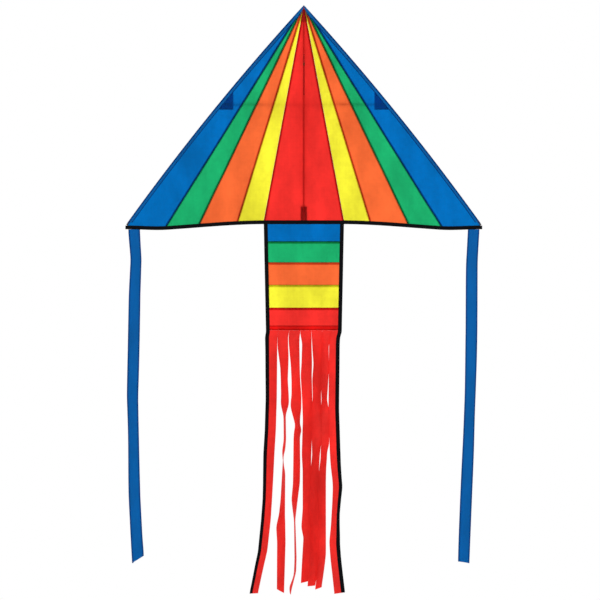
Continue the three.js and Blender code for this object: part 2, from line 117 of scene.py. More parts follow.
class NodeBench:
    """A material's node tree with short ways to add what the finishes need."""

    def __init__(self, name: str) -> None:
        """Starts an empty material.

        Args:
            name: the material's name.
        """
        self.material = bpy.data.materials.new(name)
        self.material.use_nodes = True
        self.tree = self.material.node_tree
        self.tree.nodes.clear()
        self.output = self.tree.nodes.new("ShaderNodeOutputMaterial")

    def node(self, kind: str, **settings: object) -> bpy.types.Node:
        """Adds a node.

        Args:
            kind: the node's type without its ShaderNode prefix.
            **settings: properties set on the node.

        Returns:
            The new node.
        """
        made = self.tree.nodes.new("ShaderNode" + kind)
        for key, value in settings.items():
            setattr(made, key, value)
        return made

    def join(self, source: bpy.types.NodeSocket, target: bpy.types.NodeSocket) -> None:
        """Links an output to an input."""
        self.tree.links.new(source, target)

    def fill(self, socket: bpy.types.NodeSocket, value: object) -> None:
        """Links a socket to another, or sets its constant.

        Args:
            socket: the input.
            value: an output socket, or a number or colour.
        """
        if isinstance(value, bpy.types.NodeSocket):
            self.join(value, socket)
        else:
            socket.default_value = value

    def sum_of(self, operation: str, *values: object, clamp: bool = False) -> bpy.types.NodeSocket:
        """A Math node's result.

        Args:
            operation: the Math node's operation.
            *values: its inputs, as sockets or numbers.
            clamp: whether the result is held between 0 and 1.

        Returns:
            The result's socket.
        """
        made = self.node("Math", operation=operation, use_clamp=clamp)
        for index, value in enumerate(values):
            self.fill(made.inputs[index], value)
        return made.outputs[0]

    def cut(self) -> tuple[bpy.types.NodeSocket, bpy.types.NodeSocket]:
        """The place on the cut piece of cloth, in metres along and across it."""
        split = self.node("SeparateXYZ")
        self.join(self.node("UVMap", uv_map="cut").outputs[0], split.inputs[0])
        return split.outputs[0], split.outputs[1]

    def speckle(
        self, scale: float, detail: float = 2.0, stretch: Sequence[float] = (1, 1, 1)
    ) -> bpy.types.NodeSocket:
        """Noise in the object's own space.

        Args:
            scale: how many features there are in a metre.
            detail: the noise's finer layers.
            stretch: how far each axis is squeezed before the noise is read.

        Returns:
            The noise's value, about 0.5 on average.
        """
        place = self.node("Mapping")
        self.join(self.node("TexCoord").outputs["Object"], place.inputs[0])
        place.inputs["Scale"].default_value = stretch
        made = self.node("TexNoise")
        made.inputs["Scale"].default_value = scale
        made.inputs["Detail"].default_value = detail
        self.join(place.outputs[0], made.inputs["Vector"])
        return made.outputs["Fac"]

    def lines(self, along: bpy.types.NodeSocket, pitch: float, width: float) -> bpy.types.NodeSocket:
        """Soft lines at an even pitch.

        Args:
            along: the coordinate that the lines cross.
            pitch: from one line to the next, in metres.
            width: each line's width, in metres.

        Returns:
            1 on a line and 0 between lines.
        """
        to_line = self.sum_of("PINGPONG", along, pitch / 2)
        soft = self.node("MapRange", interpolation_type="SMOOTHSTEP")
        self.join(to_line, soft.inputs["Value"])
        soft.inputs["From Min"].default_value = width * 0.3
        soft.inputs["From Max"].default_value = width * 0.7
        soft.inputs["To Min"].default_value = 1.0
        soft.inputs["To Max"].default_value = 0.0
        return soft.outputs[0]

    def shade(
        self, colour: Sequence[float], amount: bpy.types.NodeSocket, dark: float, light: float
    ) -> bpy.types.NodeSocket:
        """A colour that gets darker and lighter with a value.

        Args:
            colour: the linear colour.
            amount: the value, from 0 to 1.
            dark: the brightness at 0.
            light: the brightness at 1.

        Returns:
            The colour's socket.
        """
        mixed = self.node("Mix", data_type="RGBA")
        factor, first, second = (mixed.inputs[index] for index in (0, 6, 7))
        self.join(amount, factor)
        first.default_value = (*[c * dark for c in colour], 1)
        second.default_value = (*[min(1, c * light) for c in colour], 1)
        return mixed.outputs[2]

    def crossed(self, operation: str, pitch: float, width: float) -> bpy.types.NodeSocket:
        """Soft lines both along and across the cloth.

        Args:
            operation: how the two sets combine: MAXIMUM for a grid, MULTIPLY for a weave.
            pitch: from one line to the next, in metres.
            width: each line's width, in metres.

        Returns:
            The combined lines, from 0 to 1.
        """
        along, across = self.cut()
        return self.sum_of(operation, self.lines(along, pitch, width), self.lines(across, pitch, width))

    def weighted(
        self, first: bpy.types.NodeSocket, share: float, second: bpy.types.NodeSocket, other: float
    ) -> bpy.types.NodeSocket:
        """The sum of two values, each times its own share."""
        return self.sum_of(
            "ADD", self.sum_of("MULTIPLY", first, share), self.sum_of("MULTIPLY", second, other)
        )

    def varied(self, value: bpy.types.NodeSocket, by: float, base: float) -> bpy.types.NodeSocket:
        """A level that goes up from its base with a value, times by."""
        return self.sum_of("ADD", self.sum_of("MULTIPLY", value, by), base)

    def bump(
        self,
        height: bpy.types.NodeSocket,
        depth: float,
        strength: float = 1.0,
        over: bpy.types.NodeSocket | None = None,
    ) -> bpy.types.NodeSocket:
        """A Bump node's normal.

        Args:
            height: the height, from 0 to 1.
            depth: how many metres a height of 1 stands for.
            strength: the bump's strength.
            over: a finer bump's normal, which this one is laid over.

        Returns:
            The normal's socket.
        """
        made = self.node("Bump")
        made.inputs["Strength"].default_value = strength
        made.inputs["Distance"].default_value = depth
        self.join(height, made.inputs["Height"])
        if over is not None:
            self.join(over, made.inputs["Normal"])
        return made.outputs[0]

    def surface(
        self, colour: bpy.types.NodeSocket, roughness: object, normal: bpy.types.NodeSocket, **levels: float
    ) -> bpy.types.NodeSocket:
        """A Principled shader.

        Args:
            colour: the base colour.
            roughness: a number or a socket.
            normal: the bumps.
            **levels: other inputs of the shader, with underscores for the spaces in their names.

        Returns:
            The shader's socket.
        """
        made = self.node("BsdfPrincipled")
        self.join(colour, made.inputs["Base Color"])
        self.fill(made.inputs["Roughness"], roughness)
        self.join(normal, made.inputs["Normal"])
        for key, level in levels.items():
            made.inputs[key.replace("_", " ")].default_value = level
        return made.outputs[0]

    def sheer(
        self, surface: bpy.types.NodeSocket, glow: bpy.types.NodeSocket, passes: float
    ) -> bpy.types.Material:
        """Ends the material as thin cloth.

        Args:
            surface: the shader of its face.
            glow: the colour of the light that comes through it.
            passes: the share of the light that comes through.

        Returns:
            The material.
        """
        through = self.node("BsdfTranslucent")
        self.join(glow, through.inputs["Color"])
        both = self.node("MixShader")
        both.inputs[0].default_value = passes
        self.join(surface, both.inputs[1])
        self.join(through.outputs[0], both.inputs[2])
        return self.finish(both.outputs[0])

    def finish(self, shader: bpy.types.NodeSocket) -> bpy.types.Material:
        """Ends the material in a shader and hands it over."""
        self.join(shader, self.output.inputs["Surface"])
        return self.material


# ---- Finishes ----


@dataclass(frozen=True)
class RipstopNylon:
    """Thin coated nylon with a grid of thicker threads. Light comes through it. Its colour carries painted
    light: a painted sheen of soft highlights and fold shade everywhere, and painted shade on seams.
    """

    dye: Dye
    grid_pitch: float = 5 * MM
    grid_width: float = 0.7 * MM
    thread_pitch: float = 0.5 * MM
    painted_sheen_folds_per_metre: float = 13
    crinkles_per_metre: float = 70
    painted_sheen_contrast: float = 2.4
    painted_shade_level: float = 0.78
    painted_highlight_level: float = 1.2
    seam_painted_shade: float = 0.55
    passes: float = 0.84
    roughness: float = 0.42
    sheen: float = 0.12
    layers: int = 1
    label: str = "cloth"

    def material(self) -> bpy.types.Material:
        """The nylon's material."""
        bench = NodeBench(f"nylon_{self.dye.value}_{self.label}")
        grid = bench.crossed("MAXIMUM", self.grid_pitch, self.grid_width)
        weave = bench.crossed("MULTIPLY", self.thread_pitch, self.thread_pitch)
        # Painted sheen: stretched noise that lightens and darkens the colour as soft highlights and fold
        # shade.
        folds = bench.speckle(self.painted_sheen_folds_per_metre, 3, (1, 1, 0.5))
        crinkle = bench.speckle(self.crinkles_per_metre, 4)
        # The tone mixes the painted sheen noise with the crinkles; the ripstop grid lines darken it a little.
        tone = bench.weighted(folds, 0.75, crinkle, 0.25)
        tone = bench.sum_of("SUBTRACT", tone, bench.sum_of("MULTIPLY", grid, 0.12), clamp=True)
        tone = bench.sum_of("SUBTRACT", bench.sum_of("MULTIPLY", tone, self.painted_sheen_contrast), 0.66, clamp=True)
        # Seam materials are painted darker overall: painted shade for the light that doubled cloth lets
        # through less.
        deep = self.seam_painted_shade if self.layers > 1 else 1.0
        dark, light = self.painted_shade_level * deep, self.painted_highlight_level * deep
        # The face colour and the light through the cloth both carry the painted sheen.
        colour = bench.shade(LINEAR[self.dye], tone, dark, light)
        one_face = [math.sqrt(channel) for channel in LINEAR[self.dye]]
        glow = bench.shade(one_face, tone, math.sqrt(dark), math.sqrt(light))
        fine = bench.bump(bench.weighted(grid, 0.6, weave, 0.25), 0.12 * MM, 0.6)
        soft = bench.bump(crinkle, 2 * MM, 0.35, over=fine)
        surface = bench.surface(colour, self.roughness, soft, Specular_IOR_Level=self.sheen)
        return bench.sheer(surface, glow, self.passes)


@dataclass(frozen=True)
class RibbonNylon:
    """The streamers' plain taffeta, a little denser than the sail's cloth."""

    colour: tuple[float, float, float] = (0.0, 0.115, 0.38)
    thread_pitch: float = 0.45 * MM
    roughness: float = 0.5
    sheen: float = 0.2
    passes: float = 0.7

    def material(self) -> bpy.types.Material:
        """The ribbon's material."""
        bench = NodeBench("ribbon_blue")
        weave = bench.crossed("MULTIPLY", self.thread_pitch, self.thread_pitch)
        tone = bench.speckle(22, 3, (1, 1, 0.35))
        colour = bench.shade(self.colour, tone, 0.82, 1.2)
        glow = bench.shade([math.sqrt(channel) for channel in self.colour], tone, 0.9, 1.1)
        normal = bench.bump(weave, 0.1 * MM, 0.5)
        surface = bench.surface(colour, self.roughness, normal, Specular_IOR_Level=self.sheen)
        return bench.sheer(surface, glow, self.passes)


@dataclass(frozen=True)
class WovenTape:
    """Matt polyester tape with a herringbone weave."""

    name: str
    colour: tuple[float, float, float] = (0.0022, 0.0022, 0.0028)
    rib_pitch: float = 1.1 * MM
    herringbone: float = 2.2 * MM
    roughness: float = 0.78
    sheen: float = 0.02

    def material(self) -> bpy.types.Material:
        """The tape's material."""
        bench = NodeBench(self.name)
        along, across = bench.cut()
        slant = bench.sum_of("ADD", along, bench.sum_of("PINGPONG", across, self.herringbone))
        rib = bench.lines(slant, self.rib_pitch, self.rib_pitch)
        tone = bench.weighted(rib, 0.5, bench.speckle(160, 3), 0.6)
        colour = bench.shade(self.colour, tone, 0.6, 2.2)
        rough = bench.varied(rib, -0.12, self.roughness + 0.06)
        normal = bench.bump(rib, 0.18 * MM, 0.8)
        return bench.finish(bench.surface(colour, rough, normal, Specular_IOR_Level=self.sheen))


@dataclass(frozen=True)
class FibreglassRod:
    """Pultruded rod: grey resin with fine fibres along it."""

    colour: tuple[float, float, float] = (0.17, 0.17, 0.175)
    roughness: float = 0.28
    coat: float = 0.3

    def material(self, squeeze: Sequence[float]) -> bpy.types.Material:
        """The rod's material.

        Args:
            squeeze: noise scale on each axis, small along the rod.

        Returns:
            The material.
        """
        bench = NodeBench("fibreglass_rod")
        fibres = bench.speckle(1, 3, squeeze)
        colour = bench.shade(self.colour, fibres, 0.5, 2.4)
        rough = bench.varied(fibres, 0.2, self.roughness - 0.08)
        normal = bench.bump(fibres, 0.08 * MM, 0.5)
        return bench.finish(bench.surface(colour, rough, normal, Coat_Weight=self.coat))


@dataclass(frozen=True)
class DippedVinyl:
    """Soft black vinyl with an orange-peel skin and scuffs."""

    colour: tuple[float, float, float] = (0.012, 0.012, 0.014)
    roughness: float = 0.3

    def material(self) -> bpy.types.Material:
        """The caps' material."""
        bench = NodeBench("dipped_vinyl")
        peel = bench.speckle(900, 2)
        scuff = bench.speckle(120, 5)
        colour = bench.shade(self.colour, scuff, 0.7, 1.9)
        rough = bench.varied(scuff, 0.3, self.roughness)
        return bench.finish(bench.surface(colour, rough, bench.bump(peel, 0.1 * MM, 0.4)))


@dataclass(frozen=True)
class AgedBrass:
    """Pressed brass, dulled in patches by tarnish."""

    colour: tuple[float, float, float] = (0.12, 0.085, 0.042)
    roughness: float = 0.2

    def material(self) -> bpy.types.Material:
        """The eyelet's material."""
        bench = NodeBench("aged_brass")
        tarnish = bench.speckle(420, 5)
        colour = bench.shade(self.colour, tarnish, 0.45, 1.5)
        rough = bench.varied(tarnish, 0.35, self.roughness)
        normal = bench.bump(tarnish, 0.05 * MM, 0.5)
        return bench.finish(bench.surface(colour, rough, normal, Metallic=1.0))


# ---- Cloth meshes ----


def smooth_step(value: np.ndarray | float, low: float, high: float) -> np.ndarray | float:
    """0 up to low, 1 from high on, and a smooth rise between them."""
    share = np.clip((np.asarray(value, float) - low) / (high - low), 0, 1)
    return share * share * (3 - 2 * share)


def softened(keys: Sequence[tuple[float, float]], steps: int, reach: int = 3) -> np.ndarray:
    """Values along a strip from a few keys, with the corners at the keys rounded off.

    Args:
        keys: pairs of share along the strip and value.
        steps: how many values to return.
        reach: how many steps each way a corner is rounded over.

    Returns:
        The values at even shares from 0 to 1.
    """
    shares = np.linspace(0, 1, steps)
    values = np.interp(shares, [k[0] for k in keys], [k[1] for k in keys])
    padded = np.pad(values, reach, mode="edge")
    kernel = np.hanning(2 * reach + 3)[1:-1]
    return np.convolve(padded, kernel / kernel.sum(), mode="valid")


def lengths(points: np.ndarray) -> np.ndarray:
    """The distance along a line at each of its points."""
    return np.concatenate([[0], np.cumsum(np.linalg.norm(np.diff(points, axis=0), axis=1))])


def grid_cut(grid: np.ndarray) -> np.ndarray:
    """Flat coordinates for a grid of points: metres down its middle column and across its middle row."""
    rows, columns = grid.shape[:2]
    down = lengths(grid[:, columns // 2])
    across = lengths(grid[rows // 2])
    return np.stack(np.broadcast_arrays(down[:, None], across[None, :]), axis=2)


def grid_normals(grid: np.ndarray, wraps: bool) -> np.ndarray:
    """Unit normals at a grid's points.

    Args:
        grid: rows by columns by three.
        wraps: whether the last column meets the first.

    Returns:
        The normals, in the grid's shape.
    """
    down = np.gradient(grid, axis=0)
    if wraps:
        across = (np.roll(grid, -1, axis=1) - np.roll(grid, 1, axis=1)) / 2
    else:
        across = np.gradient(grid, axis=1)
    normal = np.cross(across, down)
    size = np.linalg.norm(normal, axis=2, keepdims=True)
    return normal / np.maximum(size, 1e-12)


class Cloth:
    """Gathers thin closed shells of cloth or tape into one piece."""

    def __init__(self) -> None:
        """Starts with nothing in the piece."""
        self.points: list[np.ndarray] = []
        self.cuts: list[np.ndarray] = []
        self.faces: list[tuple[int, ...]] = []
        self.count = 0

    def shell(
        self, grid: np.ndarray, thickness: float, cut: np.ndarray | None = None, wraps: bool = False
    ) -> "Cloth":
        """Adds a sheet of an even thickness whose middle is the grid.

        Args:
            grid: rows by columns by three, in metres.
            thickness: the sheet's thickness.
            cut: flat coordinates, rows by columns by two, or None to measure them.
            wraps: whether the last column meets the first.

        Returns:
            This piece, so that calls can follow each other.
        """
        rows, columns = grid.shape[:2]
        flat = (grid_cut(grid) if cut is None else cut).reshape(-1, 2)
        offset = grid_normals(grid, wraps) * (thickness / 2)
        first = self.count
        second = first + rows * columns
        for layer in (grid + offset, grid - offset):
            self.points.append(layer.reshape(-1, 3))
            self.cuts.append(flat)
        span = columns if wraps else columns - 1
        for row in range(rows - 1):
            for column in range(span):
                right = (column + 1) % columns
                quad = [
                    row * columns + column,
                    row * columns + right,
                    (row + 1) * columns + right,
                    (row + 1) * columns + column,
                ]
                self.faces.append(tuple(first + corner for corner in quad))
                self.faces.append(tuple(second + corner for corner in reversed(quad)))
        for line in self.rims(rows, columns, wraps):
            for a, b in zip(line, line[1:]):
                self.faces.append((first + b, first + a, second + a, second + b))
        self.count += 2 * rows * columns
        return self

    @staticmethod
    def rims(rows: int, columns: int, wraps: bool) -> list[list[int]]:
        """The grid's border, as lines of point numbers that run round it.

        Args:
            rows: the grid's rows.
            columns: the grid's columns.
            wraps: whether the last column meets the first.

        Returns:
            The lines.
        """
        top = list(range(columns))
        foot = [(rows - 1) * columns + column for column in range(columns)]
        if wraps:
            return [top + top[:1], [*foot, foot[0]][::-1]]
        left = [row * columns for row in range(rows)]
        right = [row * columns + columns - 1 for row in range(rows)]
        return [top, right, foot[::-1], left[::-1]]

    def solid(self, points: np.ndarray, faces: Sequence[Sequence[int]]) -> None:
        """Adds a small closed solid, such as a stitch."""
        self.faces.extend(tuple(self.count + corner for corner in face) for face in faces)
        self.points.append(points)
        self.cuts.append(points[:, [0, 2]])
        self.count += len(points)

    def build(self, name: str, body: str | None, slot: str, material: bpy.types.Material) -> bpy.types.Object:
        """Makes the Blender object.

        Args:
            name: the piece's name.
            body: the CAD body it rides on, or None for a piece that lies across two bodies and is left
                unattached.
            slot: not used.
            material: its material.

        Returns:
            The object.
        """
        points, cuts = np.concatenate(self.points), np.concatenate(self.cuts)
        mesh = bpy.data.meshes.new(name)
        mesh.from_pydata(points.tolist(), [], self.faces)
        layer = mesh.uv_layers.new(name="cut")
        corners = np.zeros(len(mesh.loops), np.int32)
        mesh.loops.foreach_get("vertex_index", corners)
        layer.data.foreach_set("uv", cuts[corners].astype(np.float32).ravel())
        mesh.shade_smooth()
        mesh.set_sharp_from_angle(angle=math.radians(50))
        mesh.materials.append(material)
        made = bpy.data.objects.new(name, mesh)
        bpy.context.scene.collection.objects.link(made)
        if body is not None:
            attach(made, body)
        log.info("%s: %d faces on %s", name, len(mesh.polygons), body or "a fold")
        return made


def folded_over(
    edge: np.ndarray, inward: np.ndarray, face: np.ndarray, section: Sequence[tuple[float, float]]
) -> np.ndarray:
    """The grid of a tape folded over an edge.

    Args:
        edge: points along the edge.
        inward: unit vectors from the edge into the cloth.
        face: unit vectors square to the cloth.
        section: points of the tape's section, as distance inward and distance along face.

    Returns:
        A grid with a row for each point of the edge.
    """
    columns = [edge + inward * into + face * out for into, out in section]
    return np.stack(columns, axis=1)


def tape_section(depth: float, thickness: float, lift: float = 0.0) -> list[tuple[float, float]]:
    """A tape folded over an edge: flat on both faces with a round fold.

    Args:
        depth: how far the tape reaches in from its fold.
        thickness: between the middles of its two layers.
        lift: how much thicker the fold is than the layers' free edges.

    Returns:
        Points as distance in from the fold and distance off the cloth.
    """
    half = thickness / 2
    full = half + lift
    points = [(depth, half), (depth * 0.82, half * 1.06), (depth * 0.5, full), (full * 1.6, full)]
    turn = [
        (full * (1 - math.sin(a)), full * math.cos(a))
        for a in np.linspace(math.radians(20), math.radians(160), 6)
    ]
    return [*points, *turn, *[(into, -out) for into, out in reversed(points)]]


@dataclass
class Thread:
    """A run of lockstitch, as short fat dashes."""

    pitch: float = 3.4 * MM
    length: float = 2.5 * MM
    width: float = 0.5 * MM

    def sew(self, piece: Cloth, line: np.ndarray, face: np.ndarray) -> None:
        """Lays stitches along a line.

        Args:
            piece: the piece that gathers the stitches.
            line: points along the seam.
            face: unit vector that points off the cloth.
        """
        along = lengths(line)
        places = np.arange(self.pitch, along[-1] - self.pitch, self.pitch)
        middle = np.stack([np.interp(places, along, line[:, axis]) for axis in range(3)], axis=1)
        ahead = np.stack(
            [np.interp(places + self.length / 2, along, line[:, axis]) for axis in range(3)], axis=1
        )
        faces = [(0, 2, 4), (2, 1, 4), (1, 3, 4), (3, 0, 4), (2, 0, 5), (1, 2, 5), (3, 1, 5), (0, 3, 5)]
        for centre, tip in zip(middle, ahead):
            forward = tip - centre
            aside = np.cross(face, forward)
            aside *= self.width / 2 / max(np.linalg.norm(aside), 1e-9)
            lift = np.asarray(face) * self.width * 0.45
            spots = [
                centre - forward,
                centre + forward,
                centre - aside,
                centre + aside,
                centre + lift,
                centre - lift,
            ]
            piece.solid(np.array(spots), [faces[i] for i in range(8)])


# ---- The sail's plan ----


@dataclass(frozen=True)
class SailPlan:
    """The flat cut of the sail for the wing on +X: x out from the spine, z down from the nose."""

    half_span: float = 0.610
    centre_chord: float = 0.726
    edge_drop: float = 0.022
    tip_rise: float = 0.0075
    rise_length: float = 0.147
    leading_bow: float = 0.0146
    seam_ends: tuple[float, ...] = (0.135, 0.224, 0.355, 0.469)
    dihedral: float = math.radians(6)
    binding_depth: float = 12.4 * MM
    binding_thickness: float = 1.9 * MM
    binding_overlap: float = 0.3 * MM

    @property
    def tip(self) -> np.ndarray:
        """The wing tip."""
        return np.array([self.half_span, -(self.centre_chord + self.edge_drop - self.tip_rise)])

    @property
    def chord(self) -> float:
        """From the nose to the wing tip."""
        return float(np.linalg.norm(self.tip))

    @property
    def edge_radius(self) -> float:
        """The radius of the leading edge's bow."""
        return self.chord**2 / (8 * self.leading_bow) + self.leading_bow / 2

    @property
    def along(self) -> np.ndarray:
        """From the nose towards the wing tip."""
        return self.tip / self.chord

    @property
    def outward(self) -> np.ndarray:
        """Square to the leading edge's chord, away from the sail."""
        return np.array([-self.along[1], self.along[0]])

    @property
    def edge_centre(self) -> np.ndarray:
        """The middle of the circle that the leading edge lies on."""
        return self.tip / 2 + self.outward * (self.leading_bow - self.edge_radius)

    def leading_edge(self, share: np.ndarray | float, inset: float = 0.0) -> np.ndarray:
        """Points of the leading edge.

        Args:
            share: shares of its length from the nose.
            inset: how far the points are moved in towards the sail.

        Returns:
            The points as x and z.
        """
        half = math.asin(self.chord / 2 / self.edge_radius)
        angle = (1 - 2 * np.asarray(share, float)) * half
        reach = self.edge_radius - np.asarray(inset, float)
        return self.edge_centre + self.outward * (reach * np.cos(angle))[..., None] - self.along * (
            reach * np.sin(angle)
        )[..., None]

    def trailing_edge(self, x: np.ndarray | float) -> np.ndarray:
        """The trailing edge's level at x."""
        drop = self.edge_drop * smooth_step(np.abs(x), self.seam_ends[0], self.half_span)
        rise = self.tip_rise * smooth_step(np.abs(x), self.half_span - self.rise_length, self.half_span)
        return rise - drop - self.centre_chord

    def seam(self, end: float, share: np.ndarray) -> np.ndarray:
        """Points of the seam that runs from the nose to x = end, at shares of its length."""
        foot = np.array([end, float(self.trailing_edge(end))])
        return np.asarray(share)[:, None] * foot

    @property
    def fold_axis(self) -> Vector:
        """Down the seam between the red and yellow panels, about which the wing leans back."""
        return Vector((self.seam_ends[0], 0, -self.centre_chord)).normalized()

    def placed(self, flat: np.ndarray, back: np.ndarray | float, side: Side) -> np.ndarray:
        """Puts points of the flat wing in their place on the kite.

        Args:
            flat: points as x and z, in any shape.
            back: how far behind the wing's plane each is.
            side: which wing.

        Returns:
            The points in the frame.
        """
        turn = np.array(Quaternion(self.fold_axis, -self.dihedral).to_matrix())
        depth = np.broadcast_to(np.asarray(back, float), flat.shape[:-1])
        points = np.stack([flat[..., 0], depth, flat[..., 1]], axis=-1) @ turn.T
        points[..., 0] *= side.sign
        return points

    def turned(self, direction: Sequence[float], side: Side) -> np.ndarray:
        """A direction of the flat wing, turned with it."""
        turn = np.array(Quaternion(self.fold_axis, -self.dihedral).to_matrix())
        made = turn @ np.array(direction, float)
        made[0] *= side.sign
        return made


def ripple(x: float, z: float, size: float, seed: float) -> float:
    """Smooth noise from about -1 to 1 with features of a given size."""
    return noise.noise(Vector((x / size, z / size * 0.6, seed))) * 1.6


# ---- The finishes, made once ----


@dataclass
class Wardrobe:
    """Every material of the kite, made once and shared."""

    nylon: dict[tuple[Dye, int], bpy.types.Material] = field(default_factory=dict)

    def __post_init__(self) -> None:
        """Makes the materials."""
        for dye in Dye:
            self.nylon[dye, 1] = RipstopNylon(dye).material()
            # Key 2 is the seam version of each dye, its colour painted darker as shade of the doubled cloth.
            self.nylon[dye, 2] = RipstopNylon(dye, layers=2, label="seam").material()
        self.hem = RipstopNylon(Dye.BLUE, passes=0.42, label="hem").material()
        self.strip = RipstopNylon(Dye.RED, passes=0.66, label="strip").material()
        self.ribbon = RibbonNylon().material()
        self.tape = WovenTape("black_tape").material()
        # The navy patch cloth is the real seat pieces' cloth and also serves as painted shade on the leading
        # hems.
        self.patch = WovenTape("patch_cloth", (0.0, 0.018, 0.085), 0.9 * MM).material()
        self.thread = WovenTape("black_thread", (0.004, 0.004, 0.005), 0.4 * MM).material()
        self.rod = FibreglassRod().material((1400, 1400, 30))
        self.vinyl = DippedVinyl().material()
        self.brass = AgedBrass().material()

    def dress(self, node: str, material: bpy.types.Material, slot: str) -> None:
        """Gives a CAD node its finish and smooth shading.

        Args:
            node: the node's name.
            material: its material.
            slot: not used.
        """
        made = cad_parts[node]
        made.data.materials.clear()
        made.data.materials.append(material)
        made.data.shade_smooth()
        made.data.set_sharp_from_angle(angle=math.radians(40))
        log.info("%s: CAD node, %s", node, material.name)


# ---- Wings ----


@dataclass
class Wing:
    """One wing: four gores, the leading-edge hem round its spar, the binding and the spreader's seat."""

    side: Side
    plan: SailPlan
    wardrobe: Wardrobe
    cloth: float = 0.4 * MM
    hem_width: float = 13 * MM
    hem_half: float = 0.55 * MM
    hem_round: float = 2.9 * MM
    sleeve_stop: float = 0.024
    nose_gap: float = 7 * MM
    fold_gap: float = 1.3 * MM
    seat_inset: float = 3 * MM
    seat_length: float = 0.032
    spreader_level: float = 0.332
    patch_below: float = 0.018
    seam_width: float = 2.6 * MM
    allowance: float = 8 * MM
    relief_height: float = 2.6 * MM

    @property
    def body(self) -> str:
        """The CAD body of the wing."""
        return f"wing_{self.side.value}"

    @property
    def seat_start(self) -> float:
        """How far from the spine the spreader's seat starts; it ends just short of the leading hem."""
        edge = self.plan.leading_edge(np.linspace(0.2, 0.8, 400), self.hem_width + 0.4 * MM)
        beside = float(np.interp(self.spreader_level, -edge[:, 1], edge[:, 0]))
        return beside - self.seat_inset - self.seat_length

    def relief(self, flat: np.ndarray) -> np.ndarray:
        """How far the cloth stands behind the wing's plane, in soft folds that die out at its held edges.

        Args:
            flat: points as x and z.

        Returns:
            The offsets.
        """
        x, z = flat[..., 0], flat[..., 1]
        axis = self.plan.fold_axis
        from_fold = np.abs(x * axis.z - z * axis.x)
        from_lead = self.plan.edge_radius - np.linalg.norm(flat - self.plan.edge_centre, axis=-1)
        from_foot = z - self.plan.trailing_edge(x)
        held = smooth_step(from_fold, 0, 0.05) * smooth_step(from_lead, 0.008, 0.06) * smooth_step(
            from_foot, 0, 0.07
        )
        seat = np.hypot(x - self.seat_start - self.seat_length / 2, z + self.spreader_level)
        held = held * smooth_step(seat, 0.025, 0.1)
        seed = 3.0 + self.side.sign
        folds = np.vectorize(
            lambda a, b: ripple(a, b, 0.11, seed) + 0.35 * ripple(a + b, b, 0.035, seed + 7)
        )(x, z)
        return self.relief_height * held * (folds + 0.35)

    def placed(self, flat: np.ndarray, back: np.ndarray | float = 0.0) -> np.ndarray:
        """Points of the flat wing in the frame, with the cloth's relief and an offset behind it."""
        return self.plan.placed(flat, self.relief(flat) + back, self.side)

    def ruled(self, inner: np.ndarray, outer: np.ndarray, columns: int) -> np.ndarray:
        """Flat points between two edges, with a row for each point of the edges."""
        share = np.linspace(0, 1, columns)[None, :, None]
        return inner[:, None] * (1 - share) + outer[:, None] * share

    def gore(self, index: int) -> bpy.types.Object:
        """One gore, from its inner seam to its outer one or to the leading edge.

        Args:
            index: the gore's place, counted from the fold seam.

        Returns:
            The cloth.
        """
        dye = (Dye.YELLOW, Dye.ORANGE, Dye.GREEN, Dye.BLUE)[index]
        rows = 120
        past_foot = 1 + 4 * MM / self.plan.centre_chord
        inner_end = self.plan.seam_ends[index]
        start = self.nose_gap / self.plan.chord
        down = start + (past_foot - start) * np.linspace(0, 1, rows) ** 1.15
        inner = self.plan.seam(inner_end, down)
        if dye is Dye.BLUE:
            first = 30 * MM / self.plan.chord
            shares = first + (0.998 - first) * np.linspace(0, 1, rows) ** 1.15
            inner = self.plan.seam(inner_end, first + (past_foot - first) * np.linspace(0, 1, rows) ** 1.15)
            outer = self.plan.leading_edge(shares, 5 * MM - 3.5 * MM * smooth_step(shares, 0.94, 0.97))
        else:
            outer = self.plan.seam(self.plan.seam_ends[index + 1], down)
        if index == 0:
            inner = inner + np.array([0.25 * MM, 0])
        flat = self.ruled(inner, outer, 16)
        wanted = self.plan.trailing_edge(flat[-1, :, 0]) - 4 * MM
        flat[..., 1] += smooth_step(np.linspace(0, 1, rows), 0.8, 1)[:, None] * (
            wanted - flat[-1, :, 1]
        )[None, :]
        cut = np.stack([-flat[..., 1], flat[..., 0]], axis=-1)
        piece = Cloth().shell(self.placed(flat), self.cloth, cut)
        name = f"{dye.value}_cloth_{self.side.value}"
        made = piece.build(name, self.body, f"nylon_{dye.value}", self.wardrobe.nylon[dye, 1])
        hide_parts(f"{dye.value}_gore_{self.side.value}")
        return made

    def seams(self) -> None:
        """The rolled seams between the gores: a narrow ridge in front and an allowance behind."""
        dyes = (Dye.ORANGE, Dye.GREEN, Dye.BLUE)
        starts = (0.02, 0.025, 0.035)
        for end, dye, start in zip(self.plan.seam_ends[1:], dyes, starts):
            shares = np.linspace(start, 1.0, 150)
            middle = self.plan.seam(end, shares)
            aside = np.array([-middle[-1][1], middle[-1][0]]) / np.linalg.norm(middle[-1])
            piece = Cloth()
            layers = ((self.seam_width, -0.45 * MM, 0.5 * MM), (self.allowance, 0.42 * MM, 0.35 * MM))
            for width, back, thickness in layers:
                across = np.linspace(-0.5, 0.5, 5) * width
                flat = middle[:, None] + across[None, :, None] * aside
                crown = back * (1 + 0.25 * np.cos(np.linspace(-1, 1, 5) * math.pi / 2))
                piece.shell(self.placed(flat, crown[None, :]), thickness)
            name = f"seam_{dye.value}_{self.side.value}"
            # The seam material's darker colour is painted shade.
            piece.build(name, self.body, f"nylon_{dye.value}", self.wardrobe.nylon[dye, 2])

